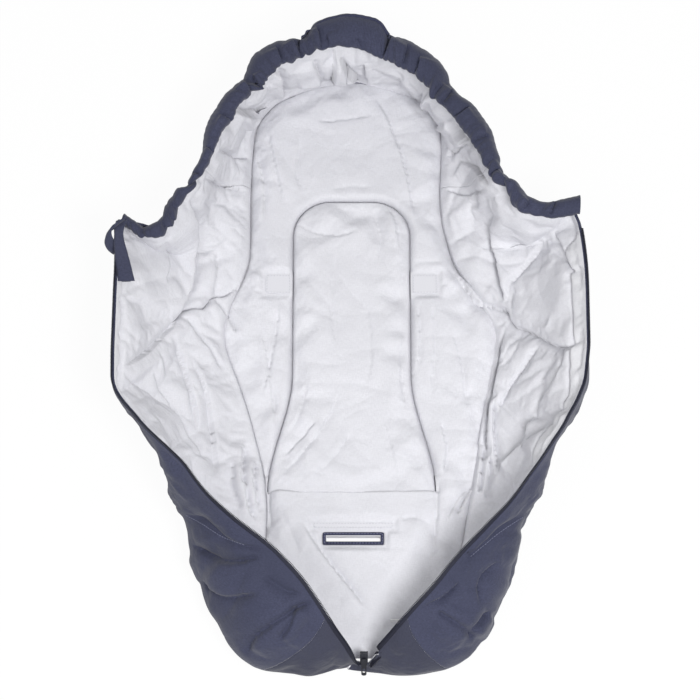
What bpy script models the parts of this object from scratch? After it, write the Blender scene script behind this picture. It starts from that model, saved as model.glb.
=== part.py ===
"""Car seat footmuff, lying open on its back. Metres, +X to its right, +Y to the head, +Z up."""

import math

import bmesh
import bpy
from mathutils import Matrix, Vector

COLLECTION = "car_seat_footmuff"

# Layers of each padded panel, measured outward from the seam surface between shell and wadding.
SHELL_THICK = 0.0012
WADDING_THICK = 0.0060
LINING_THICK = 0.0012
FACING_THICK = 0.0008
LAYER_GAP = 0.0003
TRIM_GAP = 0.0005
PANEL_GAP = 0.0003
TRIM_THICK = 0.0008
WALL_ROWS = 7

# Padding of the walls: its deepest, as a multiple of its depth at the seams, and the stations it takes to grow.
SWELL = 1.6
SWELL_START = 2

# Back panel and its outline on the floor.
BACK_HALF_WIDTH = 0.151
FOOT_HALF_WIDTH = 0.165
FOOT_END_Y = -0.389
HEAD_END_Y = 0.343
BACK_INSET = 0.0080
SOLE_DEPTH = 0.020

# Front halves, which fold on a crease beside the back panel.
FRONT_FOOT_Y = -0.075
FRONT_HEAD_Y = 0.118
CREASE_X = 0.150
CREASE_Z = 0.011
FRONT_SWING = 96.0
CLOSED_ZIP_Z = 0.120
ZIP_SIDE_LEAN = 84.0
STRAIGHT_STRIP = 0.009

# Sole, as station numbers where its side seams run and how far each panel stops short of them.
SOLE_SEAM = 3
SOLE_COLUMNS = 7
SEAM_STEP = 0.04

# Hood rim. The hood's corner is lower than the front's zip edge by a turn in degrees.
RIM_Z = 0.109
RIM_HEAD_Y = 0.346
CORNER_DROP = 11.0
CASING_START = 2.8
ELASTIC_INSET = 0.001
CASING_RADIUS = 0.012
CASING_WALL = 0.0012
ELASTIC_RADIUS = 0.003

# Zip.
ZIP_HALF_GAP = 0.006
CHAIN_RADIUS = 0.0012
CHAIN_FROM_EDGE = 0.00445
TAPE_FROM_EDGE = 0.0009
TAPE_WIDTH = 0.0020
TAPE_THICK = 0.0006
ZIP_DRIFT = 0.014
NOTCH_HALF_WIDTH = 0.0075
ZIP_END_Y = -0.380
ZIP_END_Z = 0.023
CHAIN_START = 1.85
CHAIN_HEAD_Y = 0.094
STOP_SIZE = 0.0024
STOP_GAP = 0.0003
BOTTOM_STOP_WIDTH = 0.007
BOTTOM_STOP_RISE = 0.0042
FACING_GAP = 0.0010
SLIDER_LENGTH = 0.012
SLIDER_WIDTH = 0.009
SLIDER_HEIGHT = 0.006
SLIDER_PLATE = 0.0014
SLIDER_LEAN = 45.0
SLIDER_REST_Z = 0.034
SLIDER_REST_SHIFT = 0.0044
SLIDER_POST = 0.0042
PULLER_LENGTH = 0.024
PULLER_WIDTH = 0.006
PULLER_THICK = 0.0016
PULLER_PIN_RADIUS = 0.0008
PULLER_CORNER = 0.0025
PULLER_OVERHANG = 0.001
PULLER_HOLE_LENGTH = 0.0072
PULLER_HOLE_WIDTH = 0.003
PULLER_HOLE_Y = -0.0163
PULLER_HOLE_CORNER = 0.001
PULLER_HANG = 8.0

# Harness flap in the back panel.
FLAP_HINGE_Y = -0.171
FLAP_TOP_Y = 0.197
FLAP_HALF_WIDTH = 0.070
FLAP_FOOT_HALF_WIDTH = 0.098
FLAP_FLARE_LENGTH = 0.145
FLAP_CORNER = 0.045
FLAP_GAP = 0.0015

# Crotch strap slot.
SLOT_Y = -0.229
SLOT_X = 0.002
SLOT_LENGTH = 0.071
SLOT_WIDTH = 0.015
BINDING_WIDTH = 0.002
BINDING_RISE = 0.0012
SLOT_FACING_WIDTH = 0.002
BAND_LENGTH = 0.092
BAND_WIDTH = 0.006
BAND_OFFSET_Y = 0.016
SLOT_CORNER = 0.002

# Patches beside the harness flap, and the label by the foot.
SIDE_PATCH_X = 0.088
SIDE_PATCH_Y = 0.088
SIDE_PATCH_LENGTH = 0.030
SIDE_PATCH_WIDTH = 0.024
SIDE_PATCH_CORNER = 0.003
LABEL_X = 0.050
LABEL_Y = -0.328
LABEL_SIZE = 0.011
LABEL_THICK = 0.0006

# Pocket behind the hood, which slips over the head of the seat.
POCKET_HALF_WIDTH = 0.060
POCKET_DEPTH_Y = 0.39354
POCKET_ROOT_Y = 0.355
POCKET_HEIGHT = 0.122
POCKET_WALL = 0.0015
POCKET_LEAN = 0.012
POCKET_TAPER = 0.1
POCKET_FULLNESS = 0.8
HEM_RADIUS = 0.003

# Collar end and its closing tab.
COLLAR_END_LENGTH = 0.025
COLLAR_END_X = 0.267
COLLAR_END_Y = 0.1315
COLLAR_END_Z = 0.136
COLLAR_END_SLANT = 0.005
TAB_WIDTH = 0.018
TAB_LENGTH = 0.066
TAB_THICK = 0.0024
TAB_HOOK_LENGTH = 0.022
TAB_HOOK_THICK = 0.0010
TAB_ROOT_X = -0.252
TAB_ROOT_Y = 0.112
TAB_ROOT_Z = 0.1485
TAB_SLOPE = 12.0
TAB_CORNER = 0.004
TAB_HOOK_INSET = 0.002
LOOP_PATCH_LENGTH = 0.018
LOOP_PATCH_WIDTH = 0.0144

CREASE_START_Z = SHELL_THICK + LAYER_GAP


def closed_to_open(x, z):
    """A point of the right front half, from its closed place to its open one."""
    a = math.radians(FRONT_SWING)
    dx, dz = x - CREASE_X, z - CREASE_Z
    return (
        CREASE_X + dx * math.cos(a) + dz * math.sin(a),
        CREASE_Z - dx * math.sin(a) + dz * math.cos(a),
    )


ZIP_X, ZIP_Z = closed_to_open(ZIP_HALF_GAP, CLOSED_ZIP_Z)
CHORD_LEAN = math.degrees(math.atan2(ZIP_Z - CREASE_START_Z, ZIP_X - BACK_HALF_WIDTH))
FLOOR_LEAN = 2 * CHORD_LEAN - ZIP_SIDE_LEAN


def front_arc(degrees_before_edge):
    """Point and lean of the front half's arc, so many degrees of turn before its zip edge."""
    chord = math.hypot(ZIP_X - BACK_HALF_WIDTH, ZIP_Z - CREASE_START_Z)
    radius = chord / (2 * math.sin(math.radians(ZIP_SIDE_LEAN - FLOOR_LEAN) / 2))
    centre_x = ZIP_X - radius * math.sin(math.radians(ZIP_SIDE_LEAN))
    centre_z = ZIP_Z + radius * math.cos(math.radians(ZIP_SIDE_LEAN))
    lean = ZIP_SIDE_LEAN - degrees_before_edge
    a = math.radians(lean)
    return centre_x + radius * math.sin(a), centre_z - radius * math.cos(a), lean


CORNER_X, CORNER_Z, CORNER_LEAN = front_arc(CORNER_DROP)

# Sides of the wall, from the zip's foot end round to the middle of the hood. Each station has the floor
# point, the upper edge point, the plan direction that the wall faces, and its lean at floor and edge.
FOOT_STATIONS = [
    (0.000, FOOT_END_Y, 0.000, ZIP_END_Y - 0.002, ZIP_END_Z - 0.003, -90, 60, 115),
    (0.012, FOOT_END_Y + 0.001, NOTCH_HALF_WIDTH, ZIP_END_Y, ZIP_END_Z, -88, 60, 115),
    (0.045, FOOT_END_Y + 0.004, NOTCH_HALF_WIDTH * 2, ZIP_END_Y + 0.012, 0.054, -78, 50, 128),
    (0.112, FOOT_END_Y + 0.023, 0.036, ZIP_END_Y + 0.036, 0.088, -52, 35, 150),
    (FOOT_HALF_WIDTH - 0.014, -0.338, 0.060, -0.318, 0.102, -20, 35, 168),
    (FOOT_HALF_WIDTH - 0.002, -0.290, 0.088, -0.288, 0.111, -5, 35, 168),
    (FOOT_HALF_WIDTH, -0.245, 0.127, -0.250, 0.119, 0, 34, 155),
    (FOOT_HALF_WIDTH - 0.003, -0.200, 0.174, -0.207, 0.128, 0, 30, 120),
    (BACK_HALF_WIDTH + 0.005, -0.150, 0.216, -0.163, 0.136, 0, 22, 100),
    (BACK_HALF_WIDTH + 0.0015, -0.118, 0.248, -0.126, 0.141, 0, 17, 90),
    (BACK_HALF_WIDTH, FRONT_FOOT_Y - PANEL_GAP - STRAIGHT_STRIP, ZIP_X,
     FRONT_FOOT_Y - PANEL_GAP - STRAIGHT_STRIP, ZIP_Z, 0, FLOOR_LEAN, ZIP_SIDE_LEAN),
    (BACK_HALF_WIDTH, FRONT_FOOT_Y - PANEL_GAP, ZIP_X, FRONT_FOOT_Y - PANEL_GAP, ZIP_Z,
     0, FLOOR_LEAN, ZIP_SIDE_LEAN),
]
FRONT_STATIONS = [
    (BACK_HALF_WIDTH, FRONT_FOOT_Y, ZIP_X, FRONT_FOOT_Y, ZIP_Z, 0, FLOOR_LEAN, ZIP_SIDE_LEAN),
    (BACK_HALF_WIDTH, FRONT_HEAD_Y, ZIP_X, FRONT_HEAD_Y, ZIP_Z, 0, FLOOR_LEAN, ZIP_SIDE_LEAN),
]
HOOD_STATIONS = [
    (BACK_HALF_WIDTH, FRONT_HEAD_Y + PANEL_GAP, CORNER_X, FRONT_HEAD_Y + PANEL_GAP, CORNER_Z,
     0, FLOOR_LEAN, CORNER_LEAN),
    (BACK_HALF_WIDTH, FRONT_HEAD_Y + PANEL_GAP + STRAIGHT_STRIP, CORNER_X,
     FRONT_HEAD_Y + PANEL_GAP + STRAIGHT_STRIP, CORNER_Z, 0, FLOOR_LEAN, CORNER_LEAN),
    (BACK_HALF_WIDTH - 0.004, 0.139, 0.234, 0.137, RIM_Z + 0.015, 8, 16, 75),
    (BACK_HALF_WIDTH - 0.008, 0.160, 0.202, 0.157, RIM_Z + 0.017, 15, 20, 78),
    (BACK_HALF_WIDTH - 0.013, 0.195, 0.182, 0.194, RIM_Z + 0.013, 10, 25, 85),
    (BACK_HALF_WIDTH - 0.020, 0.245, 0.160, 0.244, RIM_Z + 0.009, 15, 30, 92),
    (BACK_HALF_WIDTH - 0.035, HEAD_END_Y - 0.053, 0.124, RIM_HEAD_Y - 0.061, RIM_Z + 0.005, 35, 32, 98),
    (BACK_HALF_WIDTH - 0.063, HEAD_END_Y - 0.021, 0.093, RIM_HEAD_Y - 0.030, RIM_Z + 0.003, 55, 32, 100),
    (0.048, HEAD_END_Y - 0.005, 0.053, RIM_HEAD_Y - 0.008, RIM_Z + 0.001, 75, 32, 100),
    (0.000, HEAD_END_Y, 0.000, RIM_HEAD_Y, RIM_Z, 90, 32, 100),
]


def pchip(values, t):
    """Smooth value at t between numbered values, with no overshoot."""
    last = len(values) - 1
    i = min(int(t), last - 1)
    f = t - i
    steps = [values[k + 1] - values[k] for k in range(last)]

    def slope(k):
        if k == 0 or k == last:
            return steps[0] if k == 0 else steps[-1]
        a, b = steps[k - 1], steps[k]
        return 0.0 if a * b <= 0 else 2 * a * b / (a + b)

    h = values[i + 1] - values[i]
    m0, m1 = slope(i), slope(i + 1)
    return values[i] + f * (m0 + f * (3 * h - 2 * m0 - m1 + f * (m0 + m1 - 2 * h)))


def station(stations, t):
    columns = list(zip(*stations))
    return [pchip(column, t) for column in columns]


def drift(y):
    """Sideways lean of the zip toward the foot."""
    f = (FRONT_FOOT_Y - y) / (FRONT_FOOT_Y - ZIP_END_Y)
    f = max(0.0, min(1.0, f))
    return ZIP_DRIFT * f * f * (3 - 2 * f)


def wall_point(stations, t, s, side):
    """Point of the seam surface: t along the stations, s from floor to edge."""
    bx, by, ex, ey, ez, facing, lean0, lean1 = station(stations, t)
    start = Vector((bx, by, CREASE_START_Z))
    end = Vector((ex, ey, ez))
    turn = math.radians(lean1 - lean0)
    reach = (end - start).length * (4 / 3) * math.tan(turn / 4) / (2 * math.sin(turn / 2))
    out = Vector((math.cos(math.radians(facing)), math.sin(math.radians(facing)), 0))
    up = Vector((0, 0, 1))
    a, b = math.radians(lean0), math.radians(lean1)
    p1 = start + reach * (out * math.cos(a) + up * math.sin(a))
    p2 = end - reach * (out * math.cos(b) + up * math.sin(b))
    q = 1 - s
    p = q ** 3 * start + 3 * q * q * s * p1 + 3 * q * s * s * p2 + s ** 3 * end
    return Vector((side * p.x + drift(p.y) * s, p.y, p.z))


SAMPLE_STEP = 0.02


def edge_frame(stations, t, side):
    """Edge point, and the direction past the edge."""
    last = len(stations) - 1
    lo, hi = max(0.0, t - SAMPLE_STEP), min(last, t + SAMPLE_STEP)
    along = wall_point(stations, hi, 1, side) - wall_point(stations, lo, 1, side)
    along.normalize()
    past = wall_point(stations, t, 1, side) - wall_point(stations, t, 1 - SAMPLE_STEP, side)
    past -= past.dot(along) * along
    past.normalize()
    return wall_point(stations, t, 1, side), past


def spread(lo, hi, count):
    return [lo + (hi - lo) * i / (count - 1) for i in range(count)]


def hex_colour(code):
    rgb = [int(code[i:i + 2], 16) / 255 for i in (0, 2, 4)]
    return [c / 12.92 if c <= 0.04045 else ((c + 0.055) / 1.055) ** 2.4 for c in rgb]


NAVY, NAVY_DARK, PALE, PALE_FACING = "4C4F68", "33364A", "E3E3E7", "EDEDF0"
ZIP_DARK, WADDING_WHITE, METAL, LABEL_WHITE = "1E1F2C", "F2F2F2", "30313A", "F5F5F3"

for old in list(bpy.data.objects):
    bpy.data.objects.remove(old, do_unlink=True)
parts = bpy.data.collections.new(COLLECTION)
bpy.context.scene.collection.children.link(parts)
cutters = bpy.data.collections.new("cutters")
bpy.context.scene.collection.children.link(cutters)


def finish(obj, colour, roughness=0.85, metallic=0.0, parent=None):
    material = bpy.data.materials.new(obj.name)
    material.use_nodes = True
    shader = material.node_tree.nodes["Principled BSDF"]
    shader.inputs["Base Color"].default_value = (*hex_colour(colour), 1)
    shader.inputs["Roughness"].default_value = roughness
    shader.inputs["Metallic"].default_value = metallic
    obj.data.materials.append(material)
    parts.objects.link(obj)
    if parent is not None:
        obj.parent = parent
        obj.matrix_parent_inverse = Matrix.Translation(parent.location).inverted()
    return obj


def pivot(name, place, parent=None):
    """Empty on a joint's axis."""
    empty = bpy.data.objects.new(name, None)
    empty.empty_display_size = 0.02
    parts.objects.link(empty)
    empty.location = place
    if parent is not None:
        empty.parent = parent
        empty.matrix_parent_inverse = Matrix.Translation(parent.location).inverted()
    return empty


def solidify(obj, inner, outer):
    """Thickness from inner to outer along the sheet's normal, times the weights of the sheet, where it has them."""
    modifier = obj.modifiers.new("thickness", "SOLIDIFY")
    if obj.vertex_groups:
        modifier.vertex_group = obj.vertex_groups[0].name
    modifier.thickness = outer - inner
    modifier.offset = (outer + inner) / (outer - inner)
    modifier.use_even_offset = True
    modifier.use_quality_normals = True


def grid_sheet(name, across, up, place, flip=False, close=False, weight=None):
    """Open sheet from a grid whose vertices are placed, and weighted, by two lists of positions."""
    mesh = bpy.data.meshes.new(name)
    bm = bmesh.new()
    nx, ny = len(across) - 1, len(up) - 1
    bmesh.ops.create_grid(bm, x_segments=nx, y_segments=ny, size=1)
    weights = bm.verts.layers.deform.verify() if weight else None
    for v in bm.verts:
        i, j = round((v.co.x + 1) / 2 * nx), round((v.co.y + 1) / 2 * ny)
        v.co = place(across[i], up[j])
        if weight:
            v[weights][0] = weight(across[i], up[j])
    if close:
        bmesh.ops.remove_doubles(bm, verts=bm.verts, dist=0.00001)
    if flip:
        bmesh.ops.reverse_faces(bm, faces=bm.faces)
    bm.to_mesh(mesh)
    bm.free()
    mesh.shade_smooth()
    mesh.set_sharp_from_angle(angle=math.radians(40))
    obj = bpy.data.objects.new(name, mesh)
    if weight:
        obj.vertex_groups.new(name="fullness")
    return obj


def wire(name, points, radius, caps=True, sides=2):
    """Tube through the points."""
    curve = bpy.data.curves.new(name, "CURVE")
    curve.dimensions = "3D"
    curve.bevel_depth = radius
    curve.bevel_resolution = sides
    curve.use_fill_caps = caps
    spline = curve.splines.new("POLY")
    spline.points.add(len(points) - 1)
    for point, co in zip(spline.points, points):
        point.co = (*co, 1)
    return bpy.data.objects.new(name, curve)


def slab(name, loops, thick, z):
    """Flat sheet between z and z + thick, with the first loop as outline and the rest as holes."""
    curve = bpy.data.curves.new(name, "CURVE")
    curve.dimensions = "2D"
    curve.fill_mode = "BOTH"
    curve.extrude = thick / 2
    for loop in loops:
        spline = curve.splines.new("POLY")
        spline.points.add(len(loop) - 1)
        spline.use_cyclic_u = True
        for point, (x, y) in zip(spline.points, loop):
            point.co = (x, y, 0, 1)
    obj = bpy.data.objects.new(name, curve)
    obj.location.z = z + thick / 2
    return obj


def block(name, size, place, lean=0.0):
    """Box of a size, tilted about X."""
    mesh = bpy.data.meshes.new(name)
    bm = bmesh.new()
    bmesh.ops.create_cube(bm, size=1)
    bmesh.ops.scale(bm, vec=size, verts=bm.verts)
    bm.to_mesh(mesh)
    bm.free()
    obj = bpy.data.objects.new(name, mesh)
    obj.location = place
    obj.rotation_euler.x = math.radians(lean)
    return obj


def rounded_box(length, width, cx, cy, corner, steps=4):
    """Plan outline of a rectangle with round corners."""
    points = []
    for k in range(4):
        sx, sy = (1, 1, -1, -1)[k], (-1, 1, 1, -1)[k]
        for i in range(steps + 1):
            a = math.radians(90 * k - 90 + 90 * i / steps)
            points.append((
                cx + sx * (length / 2 - corner) + corner * math.cos(a),
                cy + sy * (width / 2 - corner) + corner * math.sin(a),
            ))
    return points


# Depths of the layers, outward from the seam surface.
WADDING_OUT = -LAYER_GAP
WADDING_IN = WADDING_OUT - WADDING_THICK
LINING_OUT = WADDING_IN - LAYER_GAP
LINING_IN = LINING_OUT - LINING_THICK
FACING_OUT = LINING_IN - FACING_GAP
FACING_IN = FACING_OUT - FACING_THICK
LAYERS = [
    ("outer", 0.0, SHELL_THICK, NAVY),
    ("wadding", WADDING_IN, WADDING_OUT, WADDING_WHITE),
    ("lining", LINING_IN, LINING_OUT, PALE),
]
FLOOR_WADDING_Z = SHELL_THICK + LAYER_GAP
FLOOR_LINING_Z = FLOOR_WADDING_Z + WADDING_THICK + LAYER_GAP
FLOOR_TOP_Z = FLOOR_LINING_Z + LINING_THICK
ROWS = spread(0, 1, WALL_ROWS)
FACING_ROWS = ROWS[-2:]
FOOT_COLUMNS = [SOLE_SEAM + SEAM_STEP]
FOOT_COLUMNS += spread(SOLE_SEAM + 0.5, len(FOOT_STATIONS) - 2, 14)
FOOT_COLUMNS.append(len(FOOT_STATIONS) - 1)


def puffed(t, s, full=1.0):
    """Share of the deepest padding at height s: thin at the floor and below the facing, deep between."""
    rise = math.sin(math.pi * min(1.0, s / FACING_ROWS[0])) ** 2
    return (1 + (SWELL - 1) * full * rise) / SWELL


def foot_puffed(t, s):
    """Padding of the foot sides, which swells away from the sole."""
    share = min(1.0, (t - SOLE_SEAM) / SWELL_START)
    return puffed(t, s, share * share * (3 - 2 * share))


def panel(prefix, across, place, flip=False, parent=None, weight=None):
    """Shell, wadding and lining of one panel, with the padding swelled by the weight at each place."""
    for layer, inner, outer, colour in LAYERS:
        if layer == "outer" or weight is None:
            sheet = grid_sheet(f"{prefix}_{layer}", across, ROWS, place, flip)
            solidify(sheet, inner, outer)
        else:
            sheet = grid_sheet(f"{prefix}_{layer}", across, ROWS, place, flip, weight=weight)
            solidify(sheet, inner * SWELL, outer * SWELL)
        finish(sheet, colour, parent=parent)


def both_sides(stations):
    """Placing function whose position runs from the left end, through the middle, to the right end."""
    def place(t, s):
        return wall_point(stations, abs(t), s, 1 if t >= 0 else -1)
    return place


def build_wall():
    """Sole, foot sides and hood."""
    sole = spread(SEAM_STEP - SOLE_SEAM, SOLE_SEAM - SEAM_STEP, 2 * SOLE_COLUMNS + 1)
    panel("sole", sole, both_sides(FOOT_STATIONS))
    for name, side in (("left", -1), ("right", 1)):
        def place(t, s, side=side):
            return wall_point(FOOT_STATIONS, t, s, side)
        panel(f"{name}_foot", FOOT_COLUMNS, place, flip=side < 0, weight=foot_puffed)

    last = len(HOOD_STATIONS) - 1

    def hood_place(t, s):
        side = -1 if t < 0 else 1
        return wall_point(HOOD_STATIONS, last - abs(t), s, side)
    half = [0.5 * k for k in range(2 * (last - 1) + 1)] + [last]
    across = [-t for t in reversed(half[1:])] + half
    panel("hood", across, hood_place, flip=True, weight=puffed)


def back_outline(inset, sole_depth=0.0):
    """Plan outline of the back panel, inside the wall's foot and clear of the sole."""
    right = []
    for stations, step in ((FOOT_STATIONS, 0.5), (FRONT_STATIONS, 1), (HOOD_STATIONS, 0.5)):
        last = len(stations) - 1
        right += [wall_point(stations, step * k, 0, 1) for k in range(int(last / step) + 1)]
    loop = [(p.x, p.y) for p in right]
    loop += [(-p.x, p.y) for p in reversed(right) if p.x > 0.0001]
    area = sum(a[0] * b[1] - b[0] * a[1] for a, b in zip(loop, loop[1:] + loop[:1]))
    sign = 1 if area > 0 else -1
    inner = []
    for k, (x, y) in enumerate(loop):
        before, after = Vector(loop[k - 1]), Vector(loop[(k + 1) % len(loop)])
        along = (after - before).normalized()
        y_in = max(y + sign * along.x * inset, FOOT_END_Y + sole_depth)
        inner.append((x - sign * along.y * inset, y_in))
    count = len(inner)
    return [p for k, p in enumerate(inner)
            if (Vector(p) - Vector(inner[k - 1])).length > 0.001
            and not inner[k - 1][1] == p[1] == inner[(k + 1) % count][1]]


def arch_half_width(y):
    """Half the harness flap's width: straight sides that flare to the foot."""
    f = (FLAP_HINGE_Y + FLAP_FLARE_LENGTH - y) / FLAP_FLARE_LENGTH
    f = max(0.0, min(1.0, f))
    flare = (FLAP_FOOT_HALF_WIDTH - FLAP_HALF_WIDTH) * f * f * (3 - 2 * f)
    return FLAP_HALF_WIDTH + flare


def arch(inset):
    """Plan outline of the harness flap, or of its opening with a negative inset."""
    right = []
    straight = FLAP_TOP_Y - FLAP_CORNER
    for y in spread(FLAP_HINGE_Y + inset, FLAP_HINGE_Y + FLAP_FLARE_LENGTH, 8) + [straight]:
        right.append((arch_half_width(y) - inset, y))
    for k in range(1, 7):
        a = math.radians(15 * k)
        r = FLAP_CORNER - inset
        right.append((FLAP_HALF_WIDTH - FLAP_CORNER + r * math.cos(a), straight + r * math.sin(a)))
    return right + [(-x, y) for x, y in reversed(right)]


def build_back():
    slot = rounded_box(SLOT_LENGTH + 2 * LAYER_GAP, SLOT_WIDTH + 2 * LAYER_GAP, SLOT_X, SLOT_Y, SLOT_CORNER)
    opening = arch(-FLAP_GAP)
    finish(slab("back_outer", [back_outline(TRIM_GAP), opening, slot], SHELL_THICK, 0), NAVY)
    outline = back_outline(BACK_INSET, SOLE_DEPTH)
    finish(slab("back_wadding", [outline, opening, slot], WADDING_THICK, FLOOR_WADDING_Z), WADDING_WHITE)
    finish(slab("back_lining", [outline, opening, slot], LINING_THICK, FLOOR_LINING_Z), PALE)

    inner_length, inner_width = SLOT_LENGTH - 2 * BINDING_WIDTH, SLOT_WIDTH - 2 * BINDING_WIDTH
    binding = [
        rounded_box(SLOT_LENGTH, SLOT_WIDTH, SLOT_X, SLOT_Y, SLOT_CORNER),
        rounded_box(inner_length, inner_width, SLOT_X, SLOT_Y, SLOT_CORNER / 2),
    ]
    finish(slab("crotch_slot_binding", binding, FLOOR_TOP_Z + BINDING_RISE - LAYER_GAP, LAYER_GAP), NAVY_DARK)
    length, width = inner_length - 2 * LAYER_GAP, inner_width - 2 * LAYER_GAP
    facing = [
        rounded_box(length, width, SLOT_X, SLOT_Y, SLOT_CORNER / 2),
        rounded_box(length - 2 * SLOT_FACING_WIDTH, width - 2 * SLOT_FACING_WIDTH, SLOT_X, SLOT_Y,
                    SLOT_CORNER / 2),
    ]
    finish(slab("crotch_slot_facing", facing, FLOOR_TOP_Z - LAYER_GAP, LAYER_GAP), PALE_FACING)
    trim_z = FLOOR_TOP_Z + LAYER_GAP
    band = rounded_box(BAND_LENGTH, BAND_WIDTH, SLOT_X, SLOT_Y + BAND_OFFSET_Y, SLOT_CORNER)
    finish(slab("crotch_slot_stay", [band], TRIM_THICK, trim_z), PALE)
    for name, side in (("left", -1), ("right", 1)):
        patch = rounded_box(SIDE_PATCH_LENGTH, SIDE_PATCH_WIDTH, side * SIDE_PATCH_X, SIDE_PATCH_Y,
                            SIDE_PATCH_CORNER)
        finish(slab(f"{name}_back_patch", [patch], TRIM_THICK, trim_z), PALE)
    label = block("care_label", (LABEL_SIZE, LABEL_THICK, LABEL_SIZE),
                  (LABEL_X, LABEL_Y, trim_z + LABEL_SIZE / 2))
    finish(label, LABEL_WHITE)


def build_harness_flap():
    hinge = pivot("harness_flap_hinge", (0, FLAP_HINGE_Y, FLOOR_TOP_Z))
    outline = arch(0)
    for name, thick, z, colour in (
        ("harness_flap_backing", SHELL_THICK, 0, NAVY),
        ("harness_flap_wadding", WADDING_THICK, FLOOR_WADDING_Z, WADDING_WHITE),
        ("harness_flap_lining", LINING_THICK, FLOOR_LINING_Z, PALE),
    ):
        finish(slab(name, [outline], thick, z), colour, parent=hinge)


def edge_line(stations, lo, hi, count, side, past):
    """Points beside the wall's edge, a distance past it."""
    points = []
    for t in spread(lo, hi, count):
        edge, beyond = edge_frame(stations, t, side)
        points.append(edge + past * beyond)
    return points


def edge_strip(name, stations, lo, hi, count, side, near, far):
    """Sheet beside the wall's edge, from near to far past it."""
    def place(t, s):
        edge, beyond = edge_frame(stations, t, side)
        return edge + s * beyond
    return grid_sheet(name, spread(lo, hi, count), [near, far], place, flip=side < 0)


def build_fronts():
    """Front halves, each turning on its crease."""
    hinges = {}
    front_length = FRONT_HEAD_Y - FRONT_FOOT_Y
    head_share = (CHAIN_HEAD_Y - FRONT_FOOT_Y) / front_length
    stop_share = (CHAIN_HEAD_Y + STOP_GAP + STOP_SIZE / 2 - FRONT_FOOT_Y) / front_length
    end_share = PANEL_GAP / front_length
    for name, side in (("left", -1), ("right", 1)):
        hinge = pivot(f"{name}_front_hinge", (side * CREASE_X, 0, CREASE_Z))
        hinges[name] = hinge

        def place(t, s, side=side):
            return wall_point(FRONT_STATIONS, t, s, side)
        panel(f"{name}_front", [0, 1], place, flip=side < 0, parent=hinge, weight=puffed)
        chain = edge_line(FRONT_STATIONS, end_share, head_share, 3, side, CHAIN_FROM_EDGE)
        finish(wire(f"{name}_upper_zip_chain", chain, CHAIN_RADIUS), ZIP_DARK, 0.5, parent=hinge)
        tape = edge_strip(f"{name}_upper_zip_tape", FRONT_STATIONS, end_share, head_share, 3, side,
                          TAPE_FROM_EDGE, TAPE_FROM_EDGE + TAPE_WIDTH)
        solidify(tape, -TAPE_THICK / 2, TAPE_THICK / 2)
        finish(tape, ZIP_DARK, parent=hinge)
        facing = grid_sheet(f"{name}_upper_zip_facing", [0, 1], FACING_ROWS, place, flip=side < 0)
        solidify(facing, FACING_IN, FACING_OUT)
        finish(facing, PALE_FACING, parent=hinge)
        edge, beyond = edge_frame(FRONT_STATIONS, stop_share, side)
        stop = block(f"{name}_zip_top_stop", (STOP_SIZE, STOP_SIZE, STOP_SIZE),
                     edge + CHAIN_FROM_EDGE * beyond)
        finish(stop, METAL, 0.35, 0.9, parent=hinge)

        def collar_line(inset, side=side):
            lo, hi = COLLAR_END_X - inset, COLLAR_END_X - COLLAR_END_LENGTH + inset
            return [(side * x, COLLAR_END_Y + COLLAR_END_SLANT * k / 2, COLLAR_END_Z)
                    for k, x in enumerate(spread(lo, hi, 3))]
        casing = wire(f"{name}_collar_end", collar_line(0), CASING_RADIUS, caps=False, sides=4)
        solidify(casing, -CASING_WALL, 0)
        finish(casing, NAVY, parent=hinge)
        elastic = wire(f"{name}_elastic_end", collar_line(ELASTIC_INSET), ELASTIC_RADIUS)
        finish(elastic, PALE, parent=hinge)
    return hinges


def build_lower_zip():
    last = len(FOOT_STATIONS) - 1
    for name, side in (("left", -1), ("right", 1)):
        chain = edge_line(FOOT_STATIONS, CHAIN_START, last, 22, side, CHAIN_FROM_EDGE)
        finish(wire(f"{name}_lower_zip_chain", chain, CHAIN_RADIUS), ZIP_DARK, 0.5)
        tape = edge_strip(f"{name}_lower_zip_tape", FOOT_STATIONS, CHAIN_START, last, 22, side,
                          TAPE_FROM_EDGE, TAPE_FROM_EDGE + TAPE_WIDTH)
        solidify(tape, -TAPE_THICK / 2, TAPE_THICK / 2)
        finish(tape, ZIP_DARK)

        def place(t, s, side=side):
            return wall_point(FOOT_STATIONS, t, s, side)
        facing = grid_sheet(f"{name}_lower_zip_facing", FOOT_COLUMNS[1:], FACING_ROWS, place,
                            flip=side < 0)
        solidify(facing, FACING_IN, FACING_OUT)
        finish(facing, PALE_FACING)
    foot = wall_point(FOOT_STATIONS, 0, 1, 1)
    stop = block("zip_bottom_stop", (BOTTOM_STOP_WIDTH, STOP_SIZE, STOP_SIZE),
                 foot + Vector((0, 0, BOTTOM_STOP_RISE)))
    finish(stop, METAL, 0.35, 0.9)


def build_collar():
    """Gathered casing round the hood's rim, with the elastic inside it."""
    last = len(HOOD_STATIONS) - 1
    rise = CASING_RADIUS + LAYER_GAP

    def rim(lo, count):
        right = edge_line(HOOD_STATIONS, lo, last, count, 1, rise)
        left = edge_line(HOOD_STATIONS, lo, last, count, -1, rise)
        return left + list(reversed(right))[1:]
    casing = wire("collar_casing", rim(CASING_START, 17), CASING_RADIUS, caps=False, sides=4)
    solidify(casing, -CASING_WALL, 0)
    finish(casing, NAVY)
    finish(wire("collar_elastic", rim(CASING_START + SEAM_STEP, 17), ELASTIC_RADIUS), PALE)


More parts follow.
